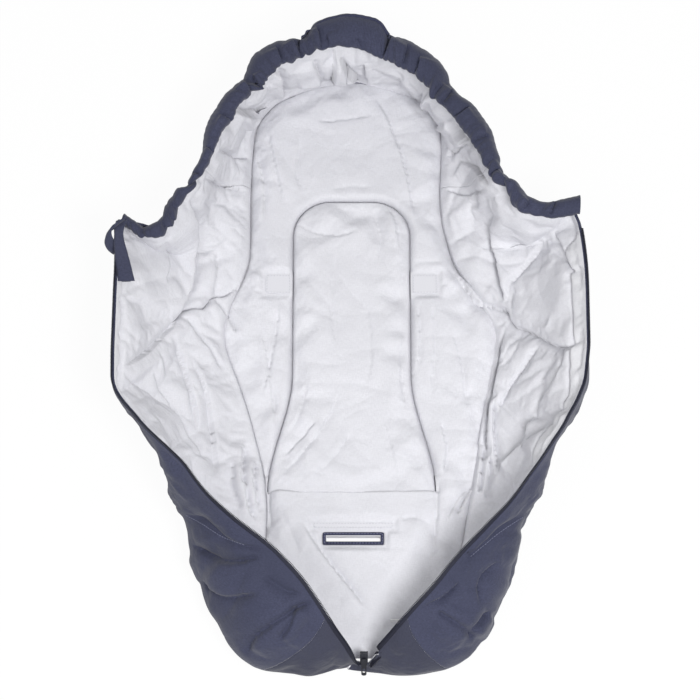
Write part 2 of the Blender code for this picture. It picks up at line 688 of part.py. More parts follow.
def build_pocket():
    """Pocket behind the hood, open upward."""
    def place(angle, s):
        a = math.radians(angle)
        bulge = (POCKET_DEPTH_Y - POCKET_ROOT_Y - POCKET_LEAN * s) * math.cos(a) ** POCKET_FULLNESS
        x = POCKET_HALF_WIDTH * math.sin(a) * (1 - POCKET_TAPER * s)
        return Vector((x, POCKET_ROOT_Y + bulge, LAYER_GAP + POCKET_HEIGHT * s))
    angles = spread(-86, 86, 15)
    pocket = grid_sheet("seat_pocket", angles, spread(0, 1, 4), place, flip=True)
    solidify(pocket, -POCKET_WALL, 0)
    finish(pocket, NAVY)
    top = POCKET_HEIGHT + LAYER_GAP + HEM_RADIUS + LAYER_GAP
    line = [place(a, 1) for a in angles]
    hem = wire("seat_pocket_hem", [(p.x, p.y - POCKET_WALL / 2, top) for p in line], HEM_RADIUS)
    finish(hem, NAVY_DARK)


def build_slider():
    """Slider with an upper and a lower plate joined by a post, and its pull."""
    foot = wall_point(FOOT_STATIONS, 1, 1, 1)
    rest = Vector((drift(foot.y), foot.y + SLIDER_REST_SHIFT, SLIDER_REST_Z))
    slider = block("zip_slider", (SLIDER_WIDTH, SLIDER_LENGTH, SLIDER_HEIGHT), rest, SLIDER_LEAN)
    channel = block("slider_channel",
                    (SLIDER_WIDTH * 2, SLIDER_LENGTH, SLIDER_HEIGHT - 2 * SLIDER_PLATE),
                    (0, 0, 0))
    channel.data.transform(Matrix.Translation((0, -SLIDER_POST, 0)))
    channel.parent = slider
    channel.hide_render = True
    channel.display_type = "WIRE"
    cutters.objects.link(channel)
    cut = slider.modifiers.new("channel", "BOOLEAN")
    cut.operation = "DIFFERENCE"
    cut.object = channel
    finish(slider, METAL, 0.35, 0.9)

    hinge = pivot("zip_puller_hinge", (0, 0, 0), slider)
    hinge.matrix_parent_inverse = Matrix.Identity(4)
    hinge.location.z = SLIDER_HEIGHT / 2 + LAYER_GAP + PULLER_PIN_RADIUS * 2
    pull = [
        rounded_box(PULLER_WIDTH, PULLER_LENGTH, 0, PULLER_OVERHANG - PULLER_LENGTH / 2, PULLER_CORNER),
        rounded_box(PULLER_HOLE_WIDTH, PULLER_HOLE_LENGTH, 0, PULLER_HOLE_Y, PULLER_HOLE_CORNER),
    ]
    puller = slab("zip_puller", pull, PULLER_THICK, -PULLER_THICK / 2)
    finish(puller, METAL, 0.35, 0.9)
    puller.parent = hinge
    puller.rotation_euler.x = math.radians(PULLER_HANG)


def build_tab(left_hinge):
    """Closing tab on the left collar end, hanging over the lining, and its loop patch on the right."""
    hinge = pivot("collar_tab_hinge", (TAB_ROOT_X, TAB_ROOT_Y, TAB_ROOT_Z), left_hinge)
    outline = rounded_box(TAB_WIDTH, TAB_LENGTH, 0, -TAB_LENGTH / 2, TAB_CORNER)
    hook = rounded_box(TAB_WIDTH - 2 * TAB_HOOK_INSET, TAB_HOOK_LENGTH, 0,
                       TAB_HOOK_LENGTH / 2 + TAB_HOOK_INSET - TAB_LENGTH, TAB_CORNER - TAB_HOOK_INSET)
    for name, loop, thick, z, colour in (
        ("collar_tab", outline, TAB_THICK, 0, NAVY),
        ("collar_tab_hook", hook, TAB_HOOK_THICK, -TAB_HOOK_THICK - LAYER_GAP, NAVY_DARK),
    ):
        strap = slab(name, [loop], thick, 0)
        finish(strap, colour)
        strap.parent = hinge
        a = math.radians(TAB_SLOPE)
        middle = z + thick / 2
        strap.location = (0, -math.sin(a) * middle, math.cos(a) * middle)
        strap.rotation_euler.x = a


def build_loop_patch(right_hinge):
    x = COLLAR_END_X - COLLAR_END_LENGTH / 2
    patch = block("right_collar_loop_patch", (LOOP_PATCH_LENGTH, LOOP_PATCH_WIDTH, TAB_HOOK_THICK),
                  (x, COLLAR_END_Y + COLLAR_END_SLANT / 2,
                   COLLAR_END_Z + CASING_RADIUS + TAB_HOOK_THICK / 2 + LAYER_GAP))
    finish(patch, NAVY_DARK, parent=right_hinge)


build_back()
build_wall()
build_harness_flap()
front_hinges = build_fronts()
build_lower_zip()
build_collar()
build_pocket()
build_slider()
build_tab(front_hinges["left"])
build_loop_patch(front_hinges["right"])
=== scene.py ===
"""Dresses the car seat footmuff's frame in cloth: padded panels, gathered collar, zip, tab and trims."""

import math
from types import SimpleNamespace

import bmesh
import bpy
import numpy as np
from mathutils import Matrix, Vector


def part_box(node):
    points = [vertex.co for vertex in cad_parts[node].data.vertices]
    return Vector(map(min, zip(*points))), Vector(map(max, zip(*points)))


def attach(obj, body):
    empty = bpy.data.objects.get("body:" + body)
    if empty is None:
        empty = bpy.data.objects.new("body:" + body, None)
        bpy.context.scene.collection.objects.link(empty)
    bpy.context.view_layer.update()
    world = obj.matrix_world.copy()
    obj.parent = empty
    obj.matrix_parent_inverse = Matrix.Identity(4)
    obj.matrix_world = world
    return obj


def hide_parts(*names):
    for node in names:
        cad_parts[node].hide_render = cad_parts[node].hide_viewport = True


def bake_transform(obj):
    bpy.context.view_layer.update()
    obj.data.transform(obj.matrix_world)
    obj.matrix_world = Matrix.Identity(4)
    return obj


bl_info = {
    "name": "Car seat footmuff looks",
    "version": (1, 0, 0),
    "blender": (4, 5, 0),
    "location": "View3D > Sidebar > Footmuff",
    "description": "Makes the cloth pieces of a car seat footmuff around its frame",
    "category": "Add Mesh",
}

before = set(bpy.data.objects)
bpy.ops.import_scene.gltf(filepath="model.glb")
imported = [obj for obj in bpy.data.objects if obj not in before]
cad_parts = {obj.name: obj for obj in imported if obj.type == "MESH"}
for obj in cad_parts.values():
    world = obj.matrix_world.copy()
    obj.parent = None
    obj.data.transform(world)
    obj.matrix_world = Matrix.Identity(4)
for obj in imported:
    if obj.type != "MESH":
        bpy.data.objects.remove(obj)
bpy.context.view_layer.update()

MM = 0.001

# The view that the folds are placed in: its pixels are the unit of all lists of folds below.
VIEW_AIM = Vector((-0.0018, -0.0144, 0.06))
VIEW_DISTANCE = 3.2
VIEW_ELEVATION = 70.0
VIEW_SCALE = 0.00117
VIEW_MIDDLE = 350.0

# Sizes of the part's solids, which the cloth is laid around, in metres and degrees
SHELL = 0.0012
PAD_DEPTH = 0.0090
FLOOR_TOP = 0.0090
HALF_BACK = 0.151
HALF_FOOT = 0.165
FOOT_Y = -0.389
HEAD_Y = 0.343
FRONT_Y = (-0.075, 0.118)
HINGE = (0.150, 0.011)
ZIP_EDGE = (0.27345, 0.14282)
ZIP_LEAN = 84.0
FLOOR_LEAN = 14.18
RIM_Z = 0.109
RIM_Y = 0.346
NOTCH = 0.0075
ZIP_END = (-0.380, 0.023)
ZIP_DRIFT = 0.014
CHAIN_OUT = 0.00445
FLAP_Y = (-0.171, 0.197)
FLAP_HALF = 0.070
FLAP_FOOT_HALF = 0.098
FLAP_FLARE = 0.145
FLAP_CORNER = 0.045
FLAP_GAP = 0.0015
SLOT = (0.002, -0.229, 0.071, 0.015)
LOW_Z = 0.0015

# Sizes of the cloth that the settings leave alone, in metres
WALL_HEIGHT = 0.19
SWELL_REACH = 0.05
EDGE_ALLOWANCE = 0.012
EDGE_REACH = 0.014
SEAM_DEPTH = 0.0040
SEAM_REACH = 0.006
GROOVE_DEPTH = 0.0034
GROOVE_GAP = 0.002
GROOVE_WIDTH = 0.0026
FACING_RISE = 0.0014
THINNEST = 0.0015
SHELL_SWELL = 0.0045
CLOTHS_APART = 0.0018
PAD_GRID = 0.0018
PAD_OVERLAP = 0.0022
# Share of the wall's height over which the lining comes in to its crease on the floor
CREASE_SHARE = 0.42
# Middle of the hood, and the radius that turns an angle round it into a length of ruffled edge
HOOD_MIDDLE = (-0.006, -0.05)
HOOD_REACH = 0.30
# Stations where the zip edge's own shifts end, where the rim turns from shell to lining, and at both zip ends
SHIFTS_END_T = 12.4
PALE_RIM_T = 12.7
ZIP_T = (1.0, 11.75)
# The right foot corner comes in by this share of the left one's, across and along the bag
RIGHT_CORNER = (0.95, 0.8)
# Width, length and height of the crumples of padded cloth, coarse to fine
CRUMPLES = ((0.046, 0.095, 0.0046), (0.024, 0.060, 0.0022), (0.013, 0.034, 0.0007))
# Wave length and height of the ruffles of a gathered edge, and of the ridges of the collar
RUFFLES = ((0.034, 0.0042), (0.019, 0.0034), (0.0105, 0.0020))
RIDGES = ((0.031, 0.0044), (0.0165, 0.0032), (0.0088, 0.0014))
# Height of the collar's middle line, by its place along the bag
COLLAR_RISE = (
    (0.10, 0.137, 0.157, 0.194, 0.244, 0.29, 0.346),
    (0.145, 0.137, 0.137, 0.134, 0.130, 0.126, 0.121),
)
# How the cloth of a panel behaves while it settles: a light cloth, pinned by its seams and filled from within
SETTLING = {
    "quality": 5, "mass": 0.15, "tension_stiffness": 12, "compression_stiffness": 12, "shear_stiffness": 4,
    "bending_stiffness": 0.25, "air_damping": 2, "pin_stiffness": 1, "use_pressure": True,
}
SETTLING_FRAMES = 22

# Stations round the wall: floor point, edge point, direction faced in degrees, lean at floor and at edge
FOOT = [
    (0.000, FOOT_Y, 0.000, ZIP_END[0] - 0.002, ZIP_END[1] - 0.003, -90, 60, 115),
    (0.012, FOOT_Y + 0.001, NOTCH, ZIP_END[0], ZIP_END[1], -88, 60, 115),
    (0.045, FOOT_Y + 0.004, NOTCH * 2, ZIP_END[0] + 0.012, 0.054, -78, 50, 128),
    (0.112, FOOT_Y + 0.023, 0.036, ZIP_END[0] + 0.036, 0.088, -52, 35, 150),
    (HALF_FOOT - 0.014, -0.338, 0.060, -0.318, 0.102, -20, 35, 168),
    (HALF_FOOT - 0.002, -0.290, 0.088, -0.288, 0.111, -5, 35, 168),
    (HALF_FOOT, -0.245, 0.127, -0.250, 0.119, 0, 34, 155),
    (HALF_FOOT - 0.003, -0.200, 0.174, -0.207, 0.128, 0, 30, 120),
    (HALF_BACK + 0.005, -0.150, 0.216, -0.163, 0.136, 0, 22, 100),
    (HALF_BACK + 0.0015, -0.118, 0.248, -0.126, 0.141, 0, 17, 90),
]
FRONT = [
    (HALF_BACK, FRONT_Y[0], ZIP_EDGE[0], FRONT_Y[0], ZIP_EDGE[1], 0, FLOOR_LEAN, ZIP_LEAN),
    (HALF_BACK, 0.022, ZIP_EDGE[0], 0.022, ZIP_EDGE[1], 0, FLOOR_LEAN, ZIP_LEAN),
    (HALF_BACK, FRONT_Y[1], ZIP_EDGE[0] - 0.003, FRONT_Y[1], ZIP_EDGE[1] - 0.012, 0, FLOOR_LEAN, 79),
]
HOOD = [
    (HALF_BACK - 0.004, 0.139, 0.234, 0.137, RIM_Z + 0.015, 8, 16, 75),
    (HALF_BACK - 0.008, 0.160, 0.202, 0.157, RIM_Z + 0.017, 15, 20, 78),
    (HALF_BACK - 0.013, 0.195, 0.182, 0.194, RIM_Z + 0.013, 10, 25, 85),
    (HALF_BACK - 0.020, 0.245, 0.160, 0.244, RIM_Z + 0.009, 15, 30, 92),
    (HALF_BACK - 0.035, HEAD_Y - 0.053, 0.124, RIM_Y - 0.061, RIM_Z + 0.005, 35, 32, 98),
    (HALF_BACK - 0.063, HEAD_Y - 0.021, 0.093, RIM_Y - 0.030, RIM_Z + 0.003, 55, 32, 100),
    (0.048, HEAD_Y - 0.005, 0.053, RIM_Y - 0.008, RIM_Z + 0.001, 75, 32, 100),
    (0.000, HEAD_Y, 0.000, RIM_Y, RIM_Z, 90, 32, 100),
]
STATIONS = np.array(FOOT + FRONT + HOOD, float)
LAST = len(STATIONS) - 1
SOLE_T = 3.0
HOOD_T = 15.2
# How far each station turns with its front half: none at the foot and hood, all beside the zip.
TURNS = np.array([
    (-0.360, 0.00, 155), (-0.344, 0.00, 147), (-0.331, 0.06, 143), (-0.318, 0.14, 138), (-0.304, 0.19, 133),
    (-0.288, 0.24, 127), (-0.270, 0.32, 119), (-0.250, 0.43, 106), (-0.229, 0.56, 92), (-0.207, 0.70, 82),
    (-0.185, 0.83, 74), (-0.163, 0.92, 66), (-0.145, 0.97, 60), (-0.126, 1.00, 60), (0.120, 1.00, 60),
    (0.129, 0.91, 60), (0.137, 0.74, 60), (0.146, 0.56, 62), (0.157, 0.36, 68), (0.168, 0.17, 72),
    (0.186, 0.00, 77),
])


def pchip(columns, t):
    """Smooth rows at the numbered places t, with no overshoot between them."""
    columns = np.asarray(columns, float)
    if columns.ndim == 1:
        columns = columns[:, None]
    steps = np.diff(columns, axis=0)
    a, b = steps[:-1], steps[1:]
    total = np.where(a + b == 0, 1, a + b)
    inner = np.where(a * b <= 0, 0, 2 * a * b / total)
    slopes = np.vstack([steps[:1], inner, steps[-1:]])
    t = np.clip(np.asarray(t, float), 0, len(columns) - 1)
    i = np.minimum(t.astype(int), len(columns) - 2)
    f = (t - i)[:, None]
    h, m0, m1 = steps[i], slopes[i], slopes[i + 1]
    return columns[i] + f * (m0 + f * (3 * h - 2 * m0 - m1 + f * (m0 + m1 - 2 * h)))


def ease(x):
    """Smooth step from 0 to 1, level at both."""
    x = np.clip(x, 0, 1)
    return x * x * (3 - 2 * x)


def drift(y):
    """Sideways lean of the zip toward the foot."""
    return ZIP_DRIFT * ease((FRONT_Y[0] - y) / (FRONT_Y[0] - ZIP_END[0]))


# How far each zip edge lies out of line in the photograph: place along the bag, and shift of the edge in mm
LEFT_EDGE = [
    (-0.381, 0), (-0.371, -8), (-0.355, -10), (-0.33, -4), (-0.306, 2), (-0.27, 4), (-0.24, -3),
    (-0.215, -1), (-0.195, 4), (-0.177, 10), (-0.155, 8), (-0.128, 5), (-0.09, 2), (-0.046, 1), (0.10, 2),
]
RIGHT_EDGE = [
    (-0.379, 0), (-0.363, 10), (-0.346, 13), (-0.33, 15), (-0.31, 17), (-0.28, 15), (-0.247, 15),
    (-0.224, 13), (-0.194, 6), (-0.165, 2), (-0.148, -2), (-0.12, -6), (-0.094, -10), (-0.065, -6),
    (-0.04, -3), (0.10, -2),
]
# How far the floor's outline comes in at the foot corners: station, and mm toward the middle and the foot
FOOT_CORNERS = [
    (0.0, 0, -17), (1.2, 0, -13), (2.5, 5, 0), (3.2, 16, 7), (4.0, 24, 3), (5.0, 9, 0), (6.0, 1, 0),
    (7.0, 0, 0), (8.0, 0, 0),
]
# How far the outer cloth bags out beside the zip: place along the bag, and mm on the left and right
BULGE = [
    (-0.26, 0, -3), (-0.23, -3, -5), (-0.205, 1, 2), (-0.185, 6, 5), (-0.165, 4, 1), (-0.148, 0, -4),
    (-0.125, 0, 0), (-0.10, 0, 3), (-0.08, 0, 3), (-0.05, 0, 2), (0.02, 0, 0),
]


def size(name):
    """A size from the settings, as it was typed there."""
    return round(getattr(bpy.context.scene.footmuff_sizes, name), 7)


def unit(rows):
    """Rows of directions, each one unit long."""
    return rows / np.linalg.norm(rows, axis=1)[:, None]


def way_along(line):
    """Length of a line of points up to each of them."""
    return np.concatenate([[0], np.cumsum(np.linalg.norm(np.diff(line, axis=0), axis=1))])


def evened(rows, passes):
    """Rows averaged with their neighbours, with both ends kept."""
    for _ in range(passes):
        rows[1:-1] = (rows[:-2] + 2 * rows[1:-1] + rows[2:]) / 4
    return rows


def grid_faces(ids):
    """Quads between the numbered points of a grid."""
    return np.stack([ids[:-1, :-1], ids[1:, :-1], ids[1:, 1:], ids[:-1, 1:]], -1).reshape(-1, 4)


def face_outward(mesh):
    """Turns the faces of a closed mesh outward."""
    bm = bmesh.new()
    bm.from_mesh(mesh)
    bmesh.ops.recalc_face_normals(bm, faces=bm.faces)
    bm.to_mesh(mesh)
    bm.free()


def edge_shift(y, side):
    """Sideways shift of the zip edge at places along the bag."""
    rows = np.array(LEFT_EDGE if side < 0 else RIGHT_EDGE)
    fine = np.linspace(rows[0, 0], rows[-1, 0], 240)
    value = evened(np.interp(fine, rows[:, 0], rows[:, 1]), 12)
    return np.interp(y, fine, value) * MM


def hood_shift(y):
    """The hood lies a little to one side, as the soft bag was laid down."""
    return -0.0062 * ease((y - 0.04) / 0.14)


def wall(t, s, side):
    """Seam surface of the wall: t along the stations, s from floor to edge. Arrays of one shape."""
    shape = t.shape
    t, s = t.ravel(), s.ravel()
    bx, by, ex, ey, ez, facing, lean0, lean1 = pchip(STATIONS, t).T
    start = np.stack([bx, by, np.full_like(bx, LOW_Z)], 1)
    end = np.stack([ex, ey, ez], 1)
    turn = np.radians(lean1 - lean0)
    reach = np.linalg.norm(end - start, axis=1) * (2 / 3) * np.tan(turn / 4) / np.sin(turn / 2)
    f, a, b = np.radians(facing), np.radians(lean0), np.radians(lean1)

    def heading(lean):
        return np.stack([np.cos(f) * np.cos(lean), np.sin(f) * np.cos(lean), np.sin(lean)], 1)

    p1 = start + reach[:, None] * heading(a)
    p2 = end - reach[:, None] * heading(b)
    s = s[:, None]
    q = 1 - s
    p = q ** 3 * start + 3 * q * q * s * p1 + 3 * q * s * s * p2 + s ** 3 * end
    corner = np.array(FOOT_CORNERS)
    low = 1 - s[:, 0] ** 2
    for axis in (0, 1):
        share = RIGHT_CORNER[axis] if side > 0 else 1
        p[:, axis] -= np.interp(t, corner[:, 0], corner[:, axis + 1]) * MM * low * share
    p[:, 0] = side * p[:, 0] + drift(p[:, 1]) * s[:, 0] + hood_shift(p[:, 1])
    p[:, 0] += edge_shift(ey, side) * s[:, 0] ** 2 * (t < SHIFTS_END_T)
    return p.reshape(*shape, 3)


def turn_share(points, side):
    """Share of a front half's turn: all over the front, none at the back's edge, foot and hood.

    It depends on the place alone, so that no layer of cloth passes through another as the half turns.
    """
    level, height = side * points[..., 0] - HINGE[0], points[..., 2] - HINGE[1]
    far = np.hypot(level, height)
    angle = np.degrees(np.arctan2(height, level))
    y = points[..., 1]
    nearby = [np.interp(y + step, TURNS[:, 0], TURNS[:, 1]) for step in (-0.008, -0.004, 0, 0.004, 0.008)]
    along = np.mean(nearby, axis=0)
    full = np.interp(y, TURNS[:, 0], TURNS[:, 2]) + 9
    above = np.clip((180 - angle) / (180 - full), 0, 1)
    below = np.clip((angle + 180) / 135, 0, 1)
    still = 0.008 + (0.020 * np.exp(-((y - 0.005) / 0.07) ** 2) if side > 0 else 0)
    return along * np.where(angle >= 0, above, below) * ease((far - still) / 0.026)


def view_axes():
    """Where the view looks, what is up in it, and the place that it looks from."""
    lean = math.radians(VIEW_ELEVATION)
    look = np.array([0, math.cos(lean), -math.sin(lean)])
    up = np.array([0, math.sin(lean), math.cos(lean)])
    return look, up, np.array(VIEW_AIM) - VIEW_DISTANCE * look


def in_view(points):
    """Place of each point in the view, in its pixels."""
    look, up, start = view_axes()
    rel = points - start
    k = VIEW_DISTANCE / VIEW_SCALE / (rel @ look)
    return np.stack([VIEW_MIDDLE + rel[..., 0] * k, VIEW_MIDDLE - (rel @ up) * k], -1)


def on_level(places, z):
    """Points at a height that show at those places of the view."""
    look, up, start = view_axes()
    uv = (np.asarray(places, float) - VIEW_MIDDLE) * VIEW_SCALE / VIEW_DISTANCE
    rays = look + uv[:, :1] * np.array([1, 0, 0]) - uv[:, 1:] * up
    z = np.broadcast_to(np.asarray(z, float), len(rays))
    return start + rays * ((z - start[2]) / rays[:, 2])[:, None]


def line_distance(places, line):
    """Distance, side and share of length of each place from a broken line."""
    line = np.asarray(line, float)
    before = way_along(line)
    lengths = np.linalg.norm(np.diff(line, axis=0), axis=1)
    best = np.full(len(places), 1e9)
    side = np.zeros(len(places))
    share = np.zeros(len(places))
    for k in range(len(line) - 1):
        a, d = line[k], line[k + 1] - line[k]
        f = np.clip(((places - a) @ d) / (d @ d), 0, 1)
        rel = places - (a + f[:, None] * d)
        gap = np.hypot(rel[:, 0], rel[:, 1])
        closer = gap < best
        best = np.where(closer, gap, best)
        side = np.where(closer, np.sign(d[0] * rel[:, 1] - d[1] * rel[:, 0]), side)
        share = np.where(closer, (before[k] + f * lengths[k]) / before[-1], share)
    return best, side, share


def spline_rows(rows, places):
    """Smooth rows through given ones, at numbered places."""
    rows = np.asarray(rows, float)
    flat = rows.reshape(len(rows), -1)
    i = np.clip(places.astype(int), 0, len(rows) - 2)
    f = (places - i)[:, None]
    before, after = flat[np.maximum(i - 1, 0)], flat[np.minimum(i + 2, len(rows) - 1)]
    a, b = flat[i], flat[i + 1]
    m0, m1 = (b - before) / 2, (after - a) / 2
    h = b - a
    out = a + f * (m0 + f * (3 * h - 2 * m0 - m1 + f * (m0 + m1 - 2 * h)))
    return out.reshape(len(places), *rows.shape[1:])


def smooth_line(points, count):
    """A smooth line through points, as that many points."""
    return spline_rows(points, np.linspace(0, len(points) - 1.001, count))


def folds_at(places, folds):
    """Height of the cloth at each place from its list of folds, in metres."""
    height = np.zeros(len(places))
    for depth, width, roll, line in folds:
        line = smooth_line(line, 6 * len(line))
        span = 12 * width + 8
        beside = (places > line.min(0) - span) & (places < line.max(0) + span)
        near = np.flatnonzero(np.all(beside, axis=1))
        gap, side, share = line_distance(places[near], line)
        taper = ease(share / 0.18) * ease((1 - share) / 0.18)
        reach = 5 * width * (1 - 0.5 * roll * side)
        flank = np.clip(1 - gap / reach, 0, 1)
        groove = -(1 - np.sqrt(1 - flank ** 2))
        swell = np.exp(-(((gap - reach) / (0.8 * reach + 4)) ** 2)) * (1 + roll * side)
        shape = (1.7 - abs(roll)) * groove + 0.35 * swell
        # Where one side rolls over, its edge stands up sharply from the other.
        if roll:
            over = side * math.copysign(1, roll) > 0
            rolled = np.where(over, np.exp(-gap / (3.2 * width)), -0.7 * np.exp(-gap / (1.5 * width)))
            shape += 2 * abs(roll) * rolled
        height[near] += depth * MM * taper * shape
    return height


def blended(at, i, j, fu, fv):
    """Value between the four neighbours of a place in a field, which at gives by their numbers."""
    a = at(i, j) * (1 - fu) + at(i + 1, j) * fu
    b = at(i, j + 1) * (1 - fu) + at(i + 1, j + 1) * fu
    return a * (1 - fv) + b * fv


def lattice_noise(x, y, seed):
    """Soft random value between -1 and 1 at each place, with bumps about one unit wide."""
    lattice = np.random.default_rng(seed).uniform(-1, 1, (64, 64))
    i, j = np.floor(x).astype(int), np.floor(y).astype(int)
    fu, fv = ease(x - i), ease(y - j)
    return blended(lambda u, v: lattice[u, v], i % 63, j % 63, fu, fv)


def crumple(x, y, seed):
    """Height of softly crumpled padded cloth in metres: round tops with narrow creases between them."""
    bend_x = x + 0.012 * lattice_noise(x / 0.05, y / 0.05, seed + 5)
    bend_y = y + 0.012 * lattice_noise(x / 0.05 + 9, y / 0.05, seed + 6)
    total = np.zeros(x.shape)
    for k, (wide, long, height) in enumerate(CRUMPLES):
        turn = 0.5 + 0.9 * k
        u = bend_x * math.cos(turn) + bend_y * math.sin(turn)
        v = -bend_x * math.sin(turn) + bend_y * math.cos(turn)
        total += height * (np.abs(lattice_noise(u / wide + 20, v / long + 20, seed + k)) ** 0.75 - 0.45)
    return total


def smooth_noise(shape, cells, seed):
    """Soft random height field on a grid, between about -1 and 1."""
    rng = np.random.default_rng(seed)
    total = np.zeros(shape)
    for cu, cv, weight in cells:
        coarse = rng.uniform(-1, 1, (cu + 3, cv + 3))
        u = np.linspace(0, cu - 0.001, shape[0])
        v = np.linspace(0, cv - 0.001, shape[1])
        i, j = u.astype(int), v.astype(int)
        fu, fv = ease(u - i)[:, None], ease(v - j)[None]
        total += weight * blended(lambda a, b: coarse[np.ix_(a, b)], i, j, fu, fv)
    return total


def normals_of(grid):
    """Normals of a grid of points, toward the cross of its two directions."""
    n = np.cross(np.gradient(grid, axis=0), np.gradient(grid, axis=1))
    return n / np.maximum(np.linalg.norm(n, axis=-1, keepdims=True), 1e-12)


def relax(grid, passes):
    """Evens a grid of points, leaving its border."""
    grid = grid.copy()
    for _ in range(passes):
        grid[1:-1, 1:-1] = (grid[:-2, 1:-1] + grid[2:, 1:-1] + grid[1:-1, :-2] + grid[1:-1, 2:]) / 4
    return grid


def resample(field, shape):
    """A grid field at another count of rows and columns."""
    u = np.linspace(0, field.shape[0] - 1.0001, shape[0])
    v = np.linspace(0, field.shape[1] - 1.0001, shape[1])
    i, j = u.astype(int), v.astype(int)
    fu = (u - i).reshape(-1, 1, *[1] * (field.ndim - 2))
    fv = (v - j).reshape(1, -1, *[1] * (field.ndim - 2))
    return blended(lambda a, b: field[np.ix_(a, b)], i, j, fu, fv)


def cloth_wrinkles(grid, hold, spare, pressure, cap):
    """How a cloth grid buckles when it has spare width and is held by its seams: offset of each point."""
    nu, nv = grid.shape[:2]
    mesh = bpy.data.meshes.new("cloth_try")
    faces = grid_faces(np.arange(nu * nv).reshape(nu, nv))
    mesh.from_pydata(grid.reshape(-1, 3).tolist(), [], faces.tolist())
    obj = bpy.data.objects.new("cloth_try", mesh)
    scene = bpy.context.scene
    scene.collection.objects.link(obj)
    group = obj.vertex_groups.new(name="seams")
    for level in range(1, 11):
        near = np.flatnonzero(np.round(hold.ravel() * 10).astype(int) == level)
        if len(near):
            group.add(near.tolist(), level / 10, "REPLACE")
    cloth = obj.modifiers.new("cloth", "CLOTH")
    wear = cloth.settings
    for name, value in SETTLING.items():
        setattr(wear, name, value)
    wear.shrink_min = -spare
    wear.shrink_max = -spare
    wear.vertex_group_mass = "seams"
    wear.effector_weights.gravity = 0
    wear.uniform_pressure_force = pressure
    cloth.collision_settings.use_collision = False
    cloth.point_cache.frame_start = 1
    cloth.point_cache.frame_end = SETTLING_FRAMES
    for number in range(1, SETTLING_FRAMES + 1):
        scene.frame_set(number)
    done = obj.evaluated_get(bpy.context.evaluated_depsgraph_get()).to_mesh()
    co = np.empty(nu * nv * 3, np.float32)
    done.vertices.foreach_get("co", co)
    scene.frame_set(1)
    bpy.data.objects.remove(obj, do_unlink=True)
    bpy.data.meshes.remove(mesh)
    move = co.reshape(nu, nv, 3).astype(float) - grid
    far = np.linalg.norm(move, axis=-1, keepdims=True)
    return move * np.minimum(1, cap / np.maximum(far, 1e-9))


def new_piece(name, verts, faces, uv, zones, mats):
    """Smooth mesh object from arrays: quads or triangles, a UV per vertex and a material number per face."""
    mesh = bpy.data.meshes.new(name)
    faces = np.asarray(faces, np.int32)
    verts = np.asarray(verts, np.float32)
    sides = faces.shape[1]
    mesh.vertices.add(len(verts))
    mesh.vertices.foreach_set("co", verts.ravel())
    mesh.loops.add(faces.size)
    mesh.loops.foreach_set("vertex_index", faces.ravel())
    mesh.polygons.add(len(faces))
    mesh.polygons.foreach_set("loop_start", np.arange(0, faces.size, sides, dtype=np.int32))
    for finish in mats:
        mesh.materials.append(finish)
    mesh.polygons.foreach_set("material_index", np.asarray(zones, np.int32))
    mesh.polygons.foreach_set("use_smooth", np.full(len(faces), True))
    layer = mesh.uv_layers.new(name="cloth")
    layer.data.foreach_set("uv", np.asarray(uv, np.float32)[faces.ravel()].ravel())
    mesh.update(calc_edges=True)
    mesh.validate()
    obj = bpy.data.objects.new(name, mesh)
    bpy.context.scene.collection.objects.link(obj)
    return obj


def shell_piece(name, top, under, uv, zones, mats, flip=False):
    """Closed padded piece between two grids: top faces the cross of the grid's directions."""
    nu, nv = top.shape[:2]
    n = nu * nv
    rows = np.arange(n).reshape(nu, nv)
    faces = grid_faces(rows)
    back = faces[:, ::-1] + n
    rim = []
    for line in (rows[0, ::-1], rows[-1, :], rows[:, 0], rows[::-1, -1]):
        rim.append(np.stack([line[1:], line[:-1], line[:-1] + n, line[1:] + n], -1))
    rim = np.vstack(rim)
    every = np.vstack([faces, back, rim])
    if flip:
        every = every[:, ::-1]
    zone_top, zone_back, zone_rim = zones
    top_zone = np.full(len(faces), zone_top) if np.isscalar(zone_top) else zone_top.ravel()
    rim_zone = np.full(len(rim), zone_rim) if np.isscalar(zone_rim) else zone_rim
    zone = np.concatenate([top_zone, np.full(len(back), zone_back), rim_zone])
    verts = np.vstack([top.reshape(-1, 3), under.reshape(-1, 3)])
    uvs = np.vstack([uv.reshape(-1, 2), uv.reshape(-1, 2)])
    return new_piece(name, verts, every, uvs, zone, mats)


# Materials


def linear(code):
    """sRGB hex colour as the linear colour that a shader takes."""
    rgb = [int(code[i:i + 2], 16) / 255 for i in (0, 2, 4)]
    return tuple(c / 12.92 if c <= 0.04045 else ((c + 0.055) / 1.055) ** 2.4 for c in rgb) + (1.0,)


def add(tree, kind, links=(), **values):
    """Adds a node: values name its settings or its inputs, links give (input, node, output)."""
    node = tree.nodes.new(kind)
    for name, value in values.items():
        if hasattr(node, name):
            setattr(node, name, value)
    for name, value in values.items():
        if not hasattr(node, name):
            numbered = name.startswith("in") and name[2:].isdigit()
            node.inputs[int(name[2:]) if numbered else name.replace("_", " ")].default_value = value
    for target, source, output in links:
        tree.links.new(source.outputs[output], node.inputs[target])
    return node


def base_material(name, roughness, metallic=0.0, sheen=0.0):
    """A new finish with its shader's plain values set."""
    finish = bpy.data.materials.new(name)
    finish.use_nodes = True
    shader = finish.node_tree.nodes["Principled BSDF"]
    shader.inputs["Roughness"].default_value = roughness
    shader.inputs["Metallic"].default_value = metallic
    shader.inputs["Sheen Weight"].default_value = sheen
    shader.inputs["Specular IOR Level"].default_value = 0.3
    return finish, finish.node_tree, shader


def tones(group):
    """Dark and light colour of a finish, from the settings."""
    look = bpy.context.scene.footmuff_colours
    return {key: linear(getattr(look, f"{group}_{tone}")) for key, tone in (("A", "dark"), ("B", "light"))}


